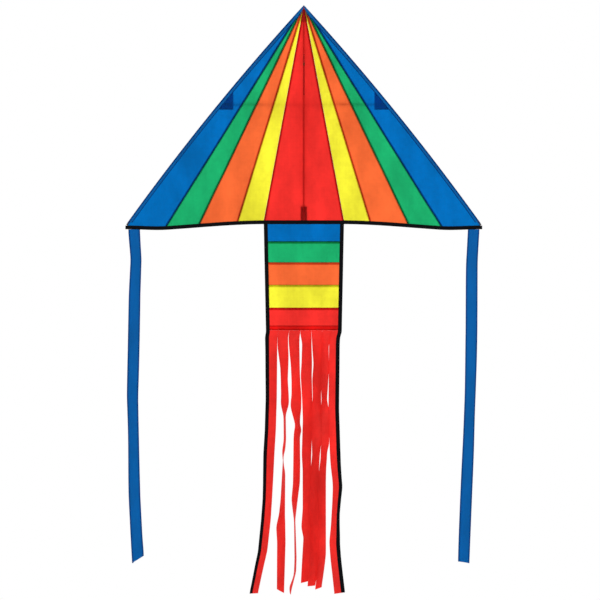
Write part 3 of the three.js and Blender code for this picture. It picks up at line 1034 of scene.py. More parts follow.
    def leading_hem(self) -> bpy.types.Object:
        """The leading edge's hem, folded round the spar and sewn down along its inner edge."""
        shares = np.concatenate([[0.004], np.linspace(0.012, 1 - self.sleeve_stop, 150)])
        reach = shares * self.plan.chord
        fat = smooth_step(reach, 0.01, 0.07)
        width = np.minimum(self.hem_width, 1.0 * MM + 0.55 * reach)
        angles = np.radians(np.linspace(118, -118, 15))
        rows = []
        for share, bulge, deep in zip(shares, fat, width):
            tube = (0.25 + 0.75 * bulge) * self.hem_round
            centre = tube + 0.3 * MM
            half = self.hem_half * (0.5 + 0.5 * bulge)
            ring = [(centre - tube * math.cos(a), -tube * math.sin(a)) for a in angles]
            ahead = [(deep, -half), (deep * 0.8, -half * 1.1), (max(deep * 0.58, centre), -half * 1.9)]
            section = [*ahead, *ring, *[(into, -out) for into, out in reversed(ahead)]]
            inset = np.array([into for into, _ in section])
            flat = self.plan.leading_edge(np.full(len(section), share), inset)
            pucker = 0.12 * MM * math.sin(share * self.plan.chord / (4 * MM))
            back = np.array([out for _, out in section]) + pucker
            rows.append(self.plan.placed(flat, back, self.side))
        grid = np.stack(rows)
        piece = Cloth().shell(grid, 0.4 * MM)
        made = piece.build(f"leading_hem_{self.side.value}", self.body, "nylon_blue", self.wardrobe.hem)
        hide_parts(f"leading_sleeve_{self.side.value}")
        return made

    def hem_painted_shade(self) -> None:
        """Dark navy strips painted on the leading hem as shade: along the crease at the very edge, where the
        spar shades it, and along the sewn inner edge of the doubled hem.
        """
        # Painted shade: a dark strip round the crease at the hem's outer edge.
        shares = np.linspace(0.006, 1 - 0.012, 150)
        reach = shares * self.plan.chord
        angles = np.radians(np.linspace(-40, 118, 13))
        rows = []
        for share, bulge in zip(shares, smooth_step(reach, 0.01, 0.07)):
            tube = (0.25 + 0.75 * bulge) * self.hem_round
            inset = tube + 0.3 * MM - (tube + 0.35 * MM) * np.cos(angles)
            flat = self.plan.leading_edge(np.full(13, share), inset)
            rows.append(self.plan.placed(flat, -(tube + 0.35 * MM) * np.sin(angles), self.side))
        piece = Cloth().shell(np.stack(rows), 0.3 * MM)
        # Painted shade: dark strips along the hem's sewn inner edge.
        shares = np.linspace(0.03, 1 - self.sleeve_stop, 150)
        insets = self.hem_width + np.array([-1.4, -0.3, 0.8]) * MM
        inner = np.stack([self.plan.leading_edge(shares, inset) for inset in insets], axis=1)
        piece.shell(self.plan.placed(inner, -1.0 * MM, self.side), 0.4 * MM)
        piece.build(f"hem_painted_shade_{self.side.value}", self.body, "patch_blue", self.wardrobe.patch)

    def binding(self) -> bpy.types.Object:
        """The black tape folded over the trailing edge."""
        x = np.linspace(self.plan.seam_ends[0] + self.fold_gap, self.plan.half_span - 0.5 * MM, 130)
        level = self.plan.trailing_edge(x) + self.plan.binding_overlap - self.plan.binding_depth
        edge = np.stack([x, level], axis=-1)
        section = tape_section(self.plan.binding_depth, self.plan.binding_thickness)
        columns = []
        for into, out in section:
            flat = edge + np.array([0, into])
            wave = 0.25 * MM * np.sin(x / (11 * MM) + into / (3 * MM))
            columns.append(self.plan.placed(flat, out + wave, self.side))
        grid = np.stack(columns, axis=1)
        made = Cloth().shell(grid, 0.45 * MM).build(
            f"trailing_tape_{self.side.value}", self.body, "black_tape", self.wardrobe.tape
        )
        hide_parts(f"trailing_binding_{self.side.value}")
        return made

    def seat_patch(self) -> bpy.types.Object:
        """The dark triangle sewn behind the sail, under the spreader's seat."""
        foot = -(self.spreader_level + self.patch_below)
        shares = np.linspace(0.2, 0.8, 2400)
        edge = self.plan.leading_edge(shares, self.hem_width)
        upper = shares[np.argmax(edge[:, 0] >= self.seat_start)]
        lower = shares[np.argmax(edge[:, 1] <= foot)]
        outer = self.plan.leading_edge(np.linspace(upper, lower, 26), self.hem_width - 2 * MM)
        inner = np.stack([np.full(26, self.seat_start), np.linspace(outer[0][1] - 2 * MM, foot, 26)], axis=-1)
        flat = self.ruled(inner, outer, 16)
        across = np.linspace(0, 1, 16)[None, :, None]
        foot_line = inner[-1] * (1 - across) + outer[-1] * across
        turned_edge = foot_line + np.array([[0, 5 * MM], [0, 2.5 * MM], [0, 0]])[:, None]
        piece = Cloth().shell(self.placed(flat, 0.85 * MM), 0.4 * MM)
        made = piece.build(f"seat_triangle_{self.side.value}", self.body, "patch_blue", self.wardrobe.hem)
        rim = Cloth().shell(self.placed(turned_edge, 0.45 * MM), 0.25 * MM)
        rim.build(f"seat_rim_{self.side.value}", self.body, "patch_blue", self.wardrobe.patch)
        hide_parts(f"seat_patch_{self.side.value}")
        return made

    def seat(self) -> bpy.types.Object:
        """The folded strip that holds the spreader's end, open to the rear."""
        low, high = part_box(f"spreader_seat_{self.side.value}")
        half = (high.z - low.z) / 2 - 0.45 * MM
        base, lip = 2.25 * MM, 10.4 * MM
        turn = [
            (-half + 1.6 * MM * (1 - math.cos(a)), base + 1.6 * MM * (1 - math.sin(a)))
            for a in np.linspace(0, math.pi / 2, 6)
        ]
        wall = [(-half - 0.2 * MM, lip), (-half + 0.1 * MM, lip * 0.7), *turn]
        section = [*wall, *[(-up, out) for up, out in reversed(wall)]]
        places = np.linspace(self.seat_start, self.seat_start + self.seat_length, 20)
        rows = []
        for x in places:
            ends = 1 - 0.10 * (1 - math.sin(math.pi * (x - places[0]) / self.seat_length))
            flat = np.array([(x, -self.spreader_level + up) for up, _ in section])
            rows.append(
                self.plan.placed(
                    flat, np.array([base + (out - base) * ends for _, out in section]), self.side
                )
            )
        made = Cloth().shell(np.stack(rows), 0.8 * MM).build(
            f"seat_strip_{self.side.value}", self.body, "patch_blue", self.wardrobe.patch
        )
        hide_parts(f"spreader_seat_{self.side.value}")
        return made

    def nose_flap(self) -> None:
        """The black reinforcement behind the nose of this wing."""
        reach = 41 * MM
        down = np.linspace(0.1, 1.0, 14) * reach
        inner = np.stack([np.full(14, 0.0), -down], axis=-1) + np.outer(
            down, [self.plan.seam_ends[0] / self.plan.centre_chord, 0]
        )
        outer = np.stack([down * math.tan(math.radians(41)), -down], axis=-1)
        flat = self.ruled(inner, outer, 10)
        piece = Cloth().shell(self.plan.placed(flat, 0.65 * MM, self.side), 0.4 * MM)
        piece.build(f"nose_flap_{self.side.value}", self.body, "black_tape", self.wardrobe.tape)

    def stitching(self) -> None:
        """The thread that is seen: along the binding, the leading hem and the seat."""
        piece = Cloth()
        front, rear = self.plan.turned((0, -1, 0), self.side), self.plan.turned((0, 1, 0), self.side)
        thread = Thread()
        x = np.linspace(self.plan.seam_ends[0] + 3 * MM, self.plan.half_span - 8 * MM, 120)
        level = self.plan.trailing_edge(x) - 1.2 * MM
        for face, out in ((front, -1.3 * MM), (rear, 1.3 * MM)):
            thread.sew(piece, self.plan.placed(np.stack([x, level], axis=-1), out, self.side), face)
        shares = np.linspace(0.03, 1 - self.sleeve_stop - 0.003, 160)
        inside = self.plan.leading_edge(shares, self.hem_width - 1.6 * MM)
        for face, out in ((front, -0.85 * MM), (rear, 0.85 * MM)):
            thread.sew(piece, self.plan.placed(inside, out, self.side), face)
        across = np.linspace(self.seat_start + 2 * MM, self.seat_start + self.seat_length - 2 * MM, 8)
        for up in (-2.2 * MM, 2.2 * MM):
            flat = np.stack([across, np.full(8, up - self.spreader_level)], axis=-1)
            thread.sew(piece, self.plan.placed(flat, 2.75 * MM, self.side), rear)
        piece.build(f"wing_stitching_{self.side.value}", self.body, "black_tape", self.wardrobe.thread)

    def build(self) -> None:
        """Makes and dresses the whole wing."""
        for index in range(4):
            self.gore(index)
        self.seams()
        self.leading_hem()
        self.hem_painted_shade()
        self.binding()
        self.seat_patch()
        self.seat()
        self.nose_flap()
        self.stitching()
        self.wardrobe.dress(f"leading_spar_{self.side.value}", self.wardrobe.rod, "fibreglass_rod")
        self.wardrobe.dress(f"spar_cap_{self.side.value}", self.wardrobe.vinyl, "vinyl_cap")


# ---- Middle panel, spine and spreader ----


@dataclass
class MiddlePanel:
    """The two red halves between the fold seams, with the spine's pockets and the middle of the binding."""

    plan: SailPlan
    wardrobe: Wardrobe
    cloth: float = 0.4 * MM
    relief_height: float = 1.3 * MM
    pocket_half: float = 10 * MM
    pocket_base: float = 2.0 * MM
    pocket_crest: float = 8.6 * MM
    border_back: float = 0.75 * MM

    def relief(self, flat: np.ndarray, side: Side) -> np.ndarray:
        """How far the red cloth stands behind its plane; it only bows forward, away from the rods.

        Args:
            flat: points as x and z, on +X.
            side: which half.

        Returns:
            The offsets.
        """
        x, z = flat[..., 0], flat[..., 1]
        seam = self.plan.seam_ends[0] * z / -self.plan.centre_chord
        share = np.clip(x / np.maximum(seam, 1e-6), 0, 1)
        held = np.sin(math.pi * share) * smooth_step(z + self.plan.centre_chord, 0, 0.06) * smooth_step(
            -z, 0.03, 0.2
        )
        seed = 21.0 + side.sign
        folds = np.vectorize(lambda a, b: ripple(a, b, 0.10, seed))(x, z)
        return -self.relief_height * held * (0.9 + folds)

    def half(self, side: Side) -> bpy.types.Object:
        """One red half.

        Args:
            side: which half.

        Returns:
            The cloth.
        """
        top, foot = 7 * MM, self.plan.centre_chord + 4 * MM
        down = top + (foot - top) * np.linspace(0, 1, 120) ** 1.15
        inner = np.stack([np.full(120, 0.05 * MM), -down], axis=-1)
        outer = np.stack([self.plan.seam_ends[0] * down / self.plan.centre_chord - 0.4 * MM, -down], axis=-1)
        share = np.linspace(0, 1, 16)[None, :, None]
        flat = inner[:, None] * (1 - share) + outer[:, None] * share
        back = self.relief(flat, side)
        grid = np.stack([flat[..., 0] * side.sign, back, flat[..., 1]], axis=-1)
        cut = np.stack([-flat[..., 1], flat[..., 0]], axis=-1)
        made = Cloth().shell(grid, self.cloth, cut).build(
            f"red_cloth_{side.value}", "frame", "nylon_red", self.wardrobe.nylon[Dye.RED, 1]
        )
        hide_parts(f"red_panel_{side.value}")
        return made

    def seams(self) -> None:
        """The seams with the yellow gores and the seam down the middle."""
        piece = Cloth()
        for side in Side:
            middle = self.plan.seam(self.plan.seam_ends[0], np.linspace(0.02, 1.0, 150))
            covers = ((3.2 * MM, -1.6 * MM, -0.42 * MM, 0.4 * MM), (6 * MM, -3.5 * MM, 0.42 * MM, 0.35 * MM))
            for width, shift, back, thickness in covers:
                flat = middle[:, None] + (np.linspace(-0.5, 0.5, 5) * width + shift)[
                    None, :, None
                ] * np.array([1.0, 0.0])
                grid = np.stack(
                    [flat[..., 0] * side.sign, np.full(flat.shape[:-1], back), flat[..., 1]], axis=-1
                )
                piece.shell(grid, thickness)
        # The seam material's darker colour is painted shade.
        piece.build("seam_red_sides", "frame", "nylon_red", self.wardrobe.nylon[Dye.RED, 2])
        down = np.linspace(0.03, self.plan.centre_chord - 1 * MM, 150)
        columns = [
            np.stack([np.full(150, x), np.full(150, 0.45 * MM), -down], axis=-1)
            for x in (-1.2 * MM, 0.0, 1.2 * MM)
        ]
        middle_seam = Cloth().shell(np.stack(columns, axis=1), 0.3 * MM)
        middle_seam.build("seam_red_middle", "frame", "nylon_red", self.wardrobe.nylon[Dye.RED, 1])

    def pocket(self, name: str, top: float, foot: float, closed_at_top: bool) -> bpy.types.Object:
        """A tape pocket arched over the rod, flat and sewn at its sides, with one end closed.

        Args:
            name: the piece's name.
            top: the level of its upper end.
            foot: the level of its lower end.
            closed_at_top: which end is sewn shut.

        Returns:
            The pocket.
        """
        rows = 28
        levels = np.linspace(top, foot, rows)
        closed = top if closed_at_top else foot
        arch = [
            (-1.0, 0.0), (-0.8, 0.03), (-0.58, 0.10), (-0.44, 0.45), (-0.36, 0.8), (-0.2, 0.97), (0.0, 1.0)
        ]
        section = [*arch, *[(-x, y) for x, y in reversed(arch[:-1])]]
        rows_of_points = []
        for level in levels:
            rise = float(smooth_step(abs(level - closed), 0.0, 6 * MM))
            height = self.pocket_crest - self.pocket_base
            lift = height * (0.16 + 0.84 * rise)
            rows_of_points.append(
                [(x * self.pocket_half, self.pocket_base + y * lift, level) for x, y in section]
            )
        arched = np.array(rows_of_points)
        flat = arched.copy()
        flat[..., 1] = self.pocket_base - 0.5 * MM
        piece = Cloth().shell(arched, 0.6 * MM).shell(flat, 0.45 * MM)
        for aside in (-1, 1):
            places = [aside * (self.pocket_half + out) for out in (-2.4 * MM, 0.8 * MM)]
            border = [
                np.stack([np.full(rows, x), np.full(rows, self.border_back), levels], axis=-1) for x in places
            ]
            piece.shell(np.stack(border, axis=1), 0.4 * MM)
        open_end = foot if closed_at_top else top
        step = 2.6 * MM if closed_at_top else -2.6 * MM
        across = np.linspace(-self.pocket_half, self.pocket_half, 9)
        border = [
            np.stack([across, np.full(9, self.border_back), np.full(9, level)], axis=-1)
            for level in (open_end, open_end + step)
        ]
        piece.shell(np.stack(border, axis=1), 0.4 * MM)
        made = piece.build(name, "frame", "black_tape", self.wardrobe.tape)
        return made

    def binding(self) -> bpy.types.Object:
        """The middle stretch of the black tape on the trailing edge."""
        half = self.plan.seam_ends[0] - 1.3 * MM
        x = np.linspace(-half, half, 70)
        columns = []
        for into, out in tape_section(self.plan.binding_depth, self.plan.binding_thickness):
            wave = 0.25 * MM * np.sin(x / (11 * MM) + into / (3 * MM))
            level = -self.plan.centre_chord + self.plan.binding_overlap - self.plan.binding_depth + into
            columns.append(np.stack([x, out + wave, np.full(70, level)], axis=-1))
        made = Cloth().shell(np.stack(columns, axis=1), 0.45 * MM).build(
            "trailing_tape_middle", "frame", "black_tape", self.wardrobe.tape
        )
        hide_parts("trailing_binding_middle")
        return made

    def fold_tapes(self) -> None:
        """The short stretches of tape on the trailing edge where the wings fold."""
        for side in Side:
            seam, half = self.plan.seam_ends[0], 1.9 * MM
            x = np.linspace(seam - half, seam + half, 9)
            level = -self.plan.centre_chord + self.plan.binding_overlap - self.plan.binding_depth
            columns = []
            for into, out in tape_section(self.plan.binding_depth, self.plan.binding_thickness):
                columns.append(
                    np.stack([x * side.sign, np.full(9, out * 0.98), np.full(9, level + into)], axis=-1)
                )
            made = Cloth().shell(np.stack(columns, axis=1), 0.45 * MM).build(
                f"fold_tape_{side.value}", None, "black_tape", self.wardrobe.tape
            )
            ends = [(side.sign * (seam + aside), 0.0, level) for aside in (-half, half)]
            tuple(ends[0])
            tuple(ends[1])
            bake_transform(made)

    def nose(self) -> None:
        """The small black patch behind the very tip."""
        reach = 20 * MM
        down = np.linspace(0.02, 1.0, 12) * reach
        slope = self.plan.half_span / -self.plan.tip[1]
        share = np.linspace(-1, 1, 13)
        grid = np.stack(
            [np.stack([down * slope * s, np.full(12, 1.05 * MM), -down], axis=-1) for s in share], axis=1
        )
        made = Cloth().shell(grid, 0.6 * MM).build("nose_backing", "frame", "black_tape", self.wardrobe.tape)
        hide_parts("nose_patch")

    def stitching(self) -> None:
        """The thread along the middle binding and down the sides of the pockets."""
        piece = Cloth()
        thread = Thread()
        half = self.plan.seam_ends[0] - 4 * MM
        x = np.linspace(-half, half, 60)
        level = np.full(60, -self.plan.centre_chord - 1.2 * MM)
        for out in (-1.3 * MM, 1.3 * MM):
            thread.sew(
                piece,
                np.stack([x, np.full(60, out), level], axis=-1),
                np.array([0, math.copysign(1, out), 0]),
            )
        for name in ("spine_pocket_top", "spine_pocket_bottom"):
            low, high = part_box(name)
            for aside in (-0.83, 0.83):
                levels = np.linspace(low.z + 1 * MM, high.z - 1 * MM, 12)
                line = np.stack(
                    [
                        np.full(12, aside * self.pocket_half),
                        np.full(12, self.pocket_base + 0.55 * MM),
                        levels,
                    ],
                    axis=-1,
                )
                thread.sew(piece, line, np.array([0, 1, 0]))
        piece.build("middle_stitching", "frame", "black_tape", self.wardrobe.thread)

    def build(self) -> None:
        """Makes and dresses the middle panel and what is sewn to it."""
        for side in Side:
            self.half(side)
        self.seams()
        for end, closed_at_top in (("top", True), ("bottom", False)):
            low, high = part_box(f"spine_pocket_{end}")
            made = self.pocket(f"spine_pocket_cloth_{end}", high.z, low.z, closed_at_top)
            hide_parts(f"spine_pocket_{end}")
        self.binding()
        self.fold_tapes()
        self.nose()
        self.stitching()
        self.wardrobe.dress("spine_rod", self.wardrobe.rod, "fibreglass_rod")
        self.wardrobe.dress("spreader_rod", FibreglassRod().material((30, 1400, 1400)), "fibreglass_rod")
        for side in Side:
            self.wardrobe.dress(f"spreader_cap_{side.value}", self.wardrobe.vinyl, "vinyl_cap")


# ---- Keel ----


@dataclass
class Keel:
    """The triangular fin in front of the spine, with the towing eyelet near its point."""

    plan: SailPlan
    wardrobe: Wardrobe
    root: float = 0.7 * MM
    top: float = 0.060
    foot: float = 0.706
    depth: float = 0.129
    level: float = 0.219
    point_radius: float = 11 * MM
    hole_radius: float = 4.9 * MM
    patch_reach: float = 18 * MM
    hem: float = 8 * MM

    def touch_angle(self, height: float, turn: int) -> float:
        """Where a straight edge from a root corner meets the round point, as an angle round the eyelet."""
        reach = np.array([self.root - self.depth, self.level - height])
        return math.atan2(reach[1], reach[0]) % math.tau + turn * math.acos(
            self.point_radius / np.linalg.norm(reach)
        )

    def edges(self) -> tuple[np.ndarray, np.ndarray, np.ndarray]:
        """The free edge from the top corner, the arc of the point, and the edge to the foot corner.

        Returns:
            Three lines of points, as depth and height.
        """
        high, low = self.touch_angle(self.top, -1), self.touch_angle(self.foot, 1) - math.tau
        angles = np.linspace(high, low, 14)
        eyelet = np.array([self.depth, -self.level])
        arc = eyelet + self.point_radius * np.stack([np.cos(angles), np.sin(angles)], axis=1)
        upper = np.linspace([self.root, -self.top], arc[0], 40)
        lower = np.linspace(arc[-1], [self.root, -self.foot], 80)
        return upper, arc, lower

    def fin(self, outline: np.ndarray, rows: int, aside: float, flow: float) -> np.ndarray:
        """A grid from the eyelet's hole out to an outline.

        Args:
            outline: points as depth and height, without its last repeated.
            rows: the grid's rows.
            aside: how far to +X it lies.
            flow: the height of the cloth's soft waves.

        Returns:
            The grid, whose last column meets the first.
        """
        eyelet = np.array([self.depth, -self.level])
        away = outline - eyelet
        inner = eyelet + self.hole_radius * away / np.linalg.norm(away, axis=1, keepdims=True)
        share = (np.linspace(0, 1, rows) ** 1.3)[:, None, None]
        flat = inner[None] * (1 - share) + outline[None] * share
        far = np.linalg.norm(flat - eyelet, axis=2)
        held = smooth_step(far, 0.02, 0.1) * smooth_step(flat[..., 0], self.root, 0.04)
        waves = np.vectorize(lambda a, b: ripple(a, b, 0.09, 40.0))(flat[..., 0], flat[..., 1])
        return np.stack([aside + flow * held * waves, -flat[..., 0], flat[..., 1]], axis=2)

    def cloth(self) -> None:
        """The fin itself, with hemmed free edges."""
        upper, arc, lower = self.edges()
        root = np.linspace(lower[-1], upper[0], 110)
        outline = np.concatenate([upper[:-1], arc[:-1], lower[:-1], root[:-1]])
        grid = self.fin(outline, 22, 0.0, 1.6 * MM)
        cut = grid[..., 1:] * np.array([-1.0, 1.0])
        made = Cloth().shell(grid, 0.45 * MM, cut, wraps=True).build(
            "keel_cloth", "keel", "nylon_red", self.wardrobe.nylon[Dye.RED, 1]
        )
        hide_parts("keel_panel")
        hems = Cloth()
        inside = np.array([0.0, -self.depth / 3, -(self.top + self.foot) / 2])
        for line in (upper, lower):
            way = (line[-1] - line[0]) / np.linalg.norm(line[-1] - line[0])
            side = np.array([0.0, way[1], way[0]])
            edge = np.stack([np.zeros(len(line)), -line[:, 0], line[:, 1]], axis=1)
            if np.dot(inside - edge[0], side) < 0:
                side = -side
            grid = folded_over(edge[1:-1], side, np.array([1.0, 0, 0]), tape_section(self.hem, 1.2 * MM))
            hems.shell(grid, 0.4 * MM)
        # The hems use the seam material, whose darker colour is painted shade.
        made_hems = hems.build("keel_hems", "keel", "nylon_red", self.wardrobe.nylon[Dye.RED, 2])

    def patches(self) -> None:
        """The two reinforcements at the eyelet."""
        start = self.depth - self.patch_reach
        upper, arc, lower = self.edges()
        high = np.interp(start, upper[:, 0], upper[:, 1])
        low = np.interp(start, lower[::-1, 0], lower[::-1, 1])
        top = np.linspace([start, high], arc[0], 12)
        foot = np.linspace(arc[-1], [start, low], 12)
        back = np.linspace([start, low], [start, high], 18)
        outline = np.concatenate([top[:-1], arc[:-1], foot[:-1], back[:-1]])
        eyelet = np.array([self.depth, -self.level])
        outline = eyelet + (outline - eyelet) * 0.97
        for side in Side:
            grid = self.fin(outline, 8, side.sign * 1.15 * MM, 0.0)
            made = Cloth().shell(grid, 0.6 * MM, wraps=True).build(
                f"tow_backing_{side.value}", "keel", "black_tape", self.wardrobe.tape
            )
            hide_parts(f"tow_patch_{side.value}")

    def build(self) -> None:
        """Makes and dresses the keel."""
        self.cloth()
        self.patches()
        for node in ("eyelet", "eyelet_washer"):
            self.wardrobe.dress(node, self.wardrobe.brass, "eyelet_brass")


# ---- Tail ----


@dataclass
class Tail:
    """The striped panel that hangs from the middle of the trailing edge, with tape down both sides."""

    wardrobe: Wardrobe
    cloth: float = 0.4 * MM
    tape_width: float = 13 * MM
    tape_thickness: float = 1.3 * MM
    flow: float = 2.4 * MM

    def __post_init__(self) -> None:
        """Reads the panel's place from the frame."""
        low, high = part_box("tail_tape_right")
        self.top, self.foot = high.z, low.z
        self.top_half = high.x
        self.foot_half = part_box("fringe_tape_right")[0].x + self.tape_width
        self.bands = [(dye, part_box(f"tail_band_{dye.value}")[1].z) for dye in Dye]
        self.hem_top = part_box("tail_hem")[1].z

    def half(self, level: np.ndarray | float) -> np.ndarray | float:
        """Half the panel's width at a level."""
        share = (self.top - np.asarray(level)) / (self.top - self.foot)
        return self.top_half + (self.foot_half - self.top_half) * share

    def lean(self, x: np.ndarray, level: np.ndarray) -> np.ndarray:
        """How far the cloth hangs behind the tail's plane, in soft upright folds."""
        within = self.half(level) - self.tape_width
        x = np.clip(x, -within, within)
        held = smooth_step(self.top - level, 0.0, 0.06) * smooth_step(level - self.foot, 0.0, 0.05)
        waves = np.vectorize(
            lambda a, b: ripple(a * 2.2, b * 0.7, 0.11, 61.0) + 0.3 * ripple(a * 2, b, 0.03, 66.0)
        )(x, level)
        return self.flow * held * waves

    def placed(self, x: np.ndarray, level: np.ndarray, back: np.ndarray | float = 0.0) -> np.ndarray:
        """Points of the tail in the frame."""
        return np.stack([x, self.lean(x, level) + back, level], axis=-1)

    def strip(self, top: float, foot: float, rows: int, inset: float, back: float = 0.0) -> np.ndarray:
        """A grid across the whole tail between two levels."""
        level = np.linspace(top, foot, rows)[:, None]
        x = np.linspace(-1, 1, 48)[None, :] * (self.half(level) - inset)
        return self.placed(x, np.broadcast_to(level, x.shape), back)

    def panels(self) -> None:
        """The coloured bands and the seams between them."""
        under_tape = 4 * MM
        inset = self.tape_width - under_tape
        levels = [level for _, level in self.bands] + [self.hem_top]
        for (dye, top), foot in zip(self.bands, levels[1:]):
            start = top + 0.7 * MM if dye is Dye.BLUE else top
            grid = self.strip(start, foot, 16, inset)
            cut = grid[..., [0, 2]]
            made = Cloth().shell(grid, self.cloth, cut).build(
                f"tail_cloth_{dye.value}", "tail", f"nylon_{dye.value}", self.wardrobe.nylon[dye, 1]
            )
            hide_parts(f"tail_band_{dye.value}")
            width = 2 * float(self.half(top) - inset)
            if dye is not Dye.BLUE:
                seam = Cloth().shell(
                    self.strip(top + 1.1 * MM, top - 1.1 * MM, 3, inset, -0.5 * MM), 0.5 * MM
                )
                seam.shell(self.strip(top + 1 * MM, top - 7 * MM, 4, inset, 0.42 * MM), 0.35 * MM)
                # The seam material's darker colour is painted shade.
                seam.build(
                    f"tail_seam_{dye.value}", "tail", f"nylon_{dye.value}", self.wardrobe.nylon[dye, 2]
                )

    def hem(self) -> None:
        """The doubled hem that carries the fringe, with a rolled line along each side of it."""
        inset = self.tape_width - 4 * MM
        grid = self.strip(self.hem_top, self.foot - 0.65 * MM, 6, inset)
        made = Cloth().shell(grid, self.cloth, grid[..., [0, 2]]).build(
            "tail_hem_cloth", "tail", "nylon_red", self.wardrobe.nylon[Dye.RED, 1]
        )
        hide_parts("tail_hem")
        rolls = Cloth()
        for level in (self.hem_top - 0.5 * MM, self.foot + 3 * MM):
            rolls.shell(self.strip(level + 1.1 * MM, level - 1.1 * MM, 3, inset, -0.52 * MM), 0.5 * MM)
        doubling = Cloth().shell(
            self.strip(self.hem_top, self.foot - 0.5 * MM, 4, inset, 0.45 * MM), 0.35 * MM
        )
        doubling.build("tail_hem_doubling", "tail", "nylon_red", self.wardrobe.nylon[Dye.RED, 1])
        # The rolled lines use the seam material, whose darker colour is painted shade.
        joined = rolls.build("tail_hem_rolls", "tail", "nylon_red", self.wardrobe.nylon[Dye.RED, 2])
        width = 2 * float(self.half(self.foot) - inset)

    def tapes(self) -> None:
        """The folded tapes down both sides, with their stitching."""
        level = np.linspace(self.top + 0.7 * MM, self.foot - 0.7 * MM, 70)
        threads = Cloth()
        for side in Side:
            edge = self.placed(self.half(level) * side.sign, level)
            inward = np.array([-side.sign, 0.0, 0.0])
            grid = folded_over(
                edge, inward, np.array([0, 1.0, 0]), tape_section(self.tape_width, self.tape_thickness)
            )
            made = Cloth().shell(grid, 0.45 * MM).build(
                f"tail_edging_{side.value}", "tail", "black_tape", self.wardrobe.tape
            )
            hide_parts(f"tail_tape_{side.value}")
            for out in (-1, 1):
                line = edge + inward * (self.tape_width - 2 * MM) + np.array([0, out * 0.95 * MM, 0])
                Thread().sew(threads, line, np.array([0, float(out), 0]))
        threads.build("tail_stitching", "tail", "black_tape", self.wardrobe.thread)

    def build(self) -> None:
        """Makes and dresses the tail."""
        self.panels()
        self.hem()
        self.tapes()


# ---- Fringe ----


@dataclass(frozen=True)
class StripHang:
    """How one strip of the fringe hangs: keys of share down, sideways sway in mm, and turn in degrees."""

    keys: tuple[tuple[float, float, float], ...]
    width: float
    slant: float = 0.0
    taped: bool = False


FRINGE = (
    StripHang(
        width=42,
        slant=5,
        taped=True,
        keys=(
            (0, -3, 0), (0.07, -3, 18), (0.26, -3, 28), (0.38, -6, 28), (0.47, -11, 28),
            (0.58, -14, 38), (0.64, -16, 42), (0.72, -21, 40), (0.84, -32, 42), (0.89, -42, 44),
            (1, -62, 50),
        ),
    ),
    StripHang(
        width=36,
        slant=-8,
        keys=(
            (0, -3, 0), (0.06, -3, 3), (0.1, 0, 25), (0.14, 2, 42), (0.19, 2, 50), (0.245, 4, 45),
            (0.28, 4, 40), (0.325, 3, 79), (0.42, 4, 78), (0.46, 0, 74), (0.49, -3, 88),
            (0.545, 0, 107), (0.65, -3, 115), (0.71, -6, 125), (0.755, -10, 150), (0.81, -8, 143),
            (1, -11, 133),
        ),
    ),
    StripHang(
        width=38,
        slant=20,
        keys=(
            (0, -2, 0), (0.05, -2, 20), (0.13, 2, 38), (0.19, 4, 40), (0.245, 6, 30),
            (0.285, 4, 15), (0.33, 7, 53), (0.36, 10, 66), (0.38, 11, 48), (0.405, 7, 56),
            (0.51, 7, 52), (0.58, 6, 52), (0.64, 0, 56), (0.72, 0, 84), (0.87, 3, 80),
            (0.925, 1, 79), (0.985, -15, 80), (1, -15, 86),
        ),
    ),
    StripHang(
        width=38,
        slant=-2,
        keys=(
            (0, -1, 0), (0.05, 3, 34), (0.13, 3, 20), (0.18, 1, 10), (0.26, 4, 23), (0.35, 6, 30),
            (0.49, 2, 32), (0.55, 3, 42), (0.71, 4, 38), (0.78, 1, 28), (0.82, 3, 54),
            (0.87, 3, 43), (1, -3, 42),
        ),
    ),
    StripHang(
        width=36,
        slant=2,
        keys=(
            (0, 0, 0), (0.13, 3, 36), (0.19, 0, 29), (0.26, 0, 38), (0.32, -1, 26), (0.43, -1, 26),
            (0.49, -3, 44), (0.55, -7, 37), (0.64, -7, 32), (0.78, -9, 30), (0.93, -10, 30),
            (1, -19, 44),
        ),
    ),
    StripHang(
        width=30,
        slant=-4,
        keys=(
            (0, 0, 0), (0.06, -5, 38), (0.15, -5, 30), (0.21, -7, 38), (0.27, -8, 52),
            (0.32, -5, 20), (0.44, -5, 20), (0.47, -9, 42), (0.5, -10, 43), (0.53, -13, 38),
            (0.58, -15, 33), (0.87, -15, 33), (0.93, -20, 40), (1, -28, 42),
        ),
    ),
    StripHang(
        width=36,
        slant=-5,
        taped=True,
        keys=(
            (0, -4, 0), (0.05, -7, 0), (0.3, -9, 0), (0.45, -5, 0), (0.5, -3, 13), (0.53, -1, 19),
            (0.565, 2, 27), (0.595, 4, 24), (0.625, 2, 31), (0.655, 0, 36), (0.7, -3, 39),
            (0.745, -4, 33), (0.78, -5, 19), (0.81, -6, 0), (0.87, -2, 0), (0.9, 1, 0),
            (0.96, 7, 0), (1, 11, 0),
        ),
    ),
)


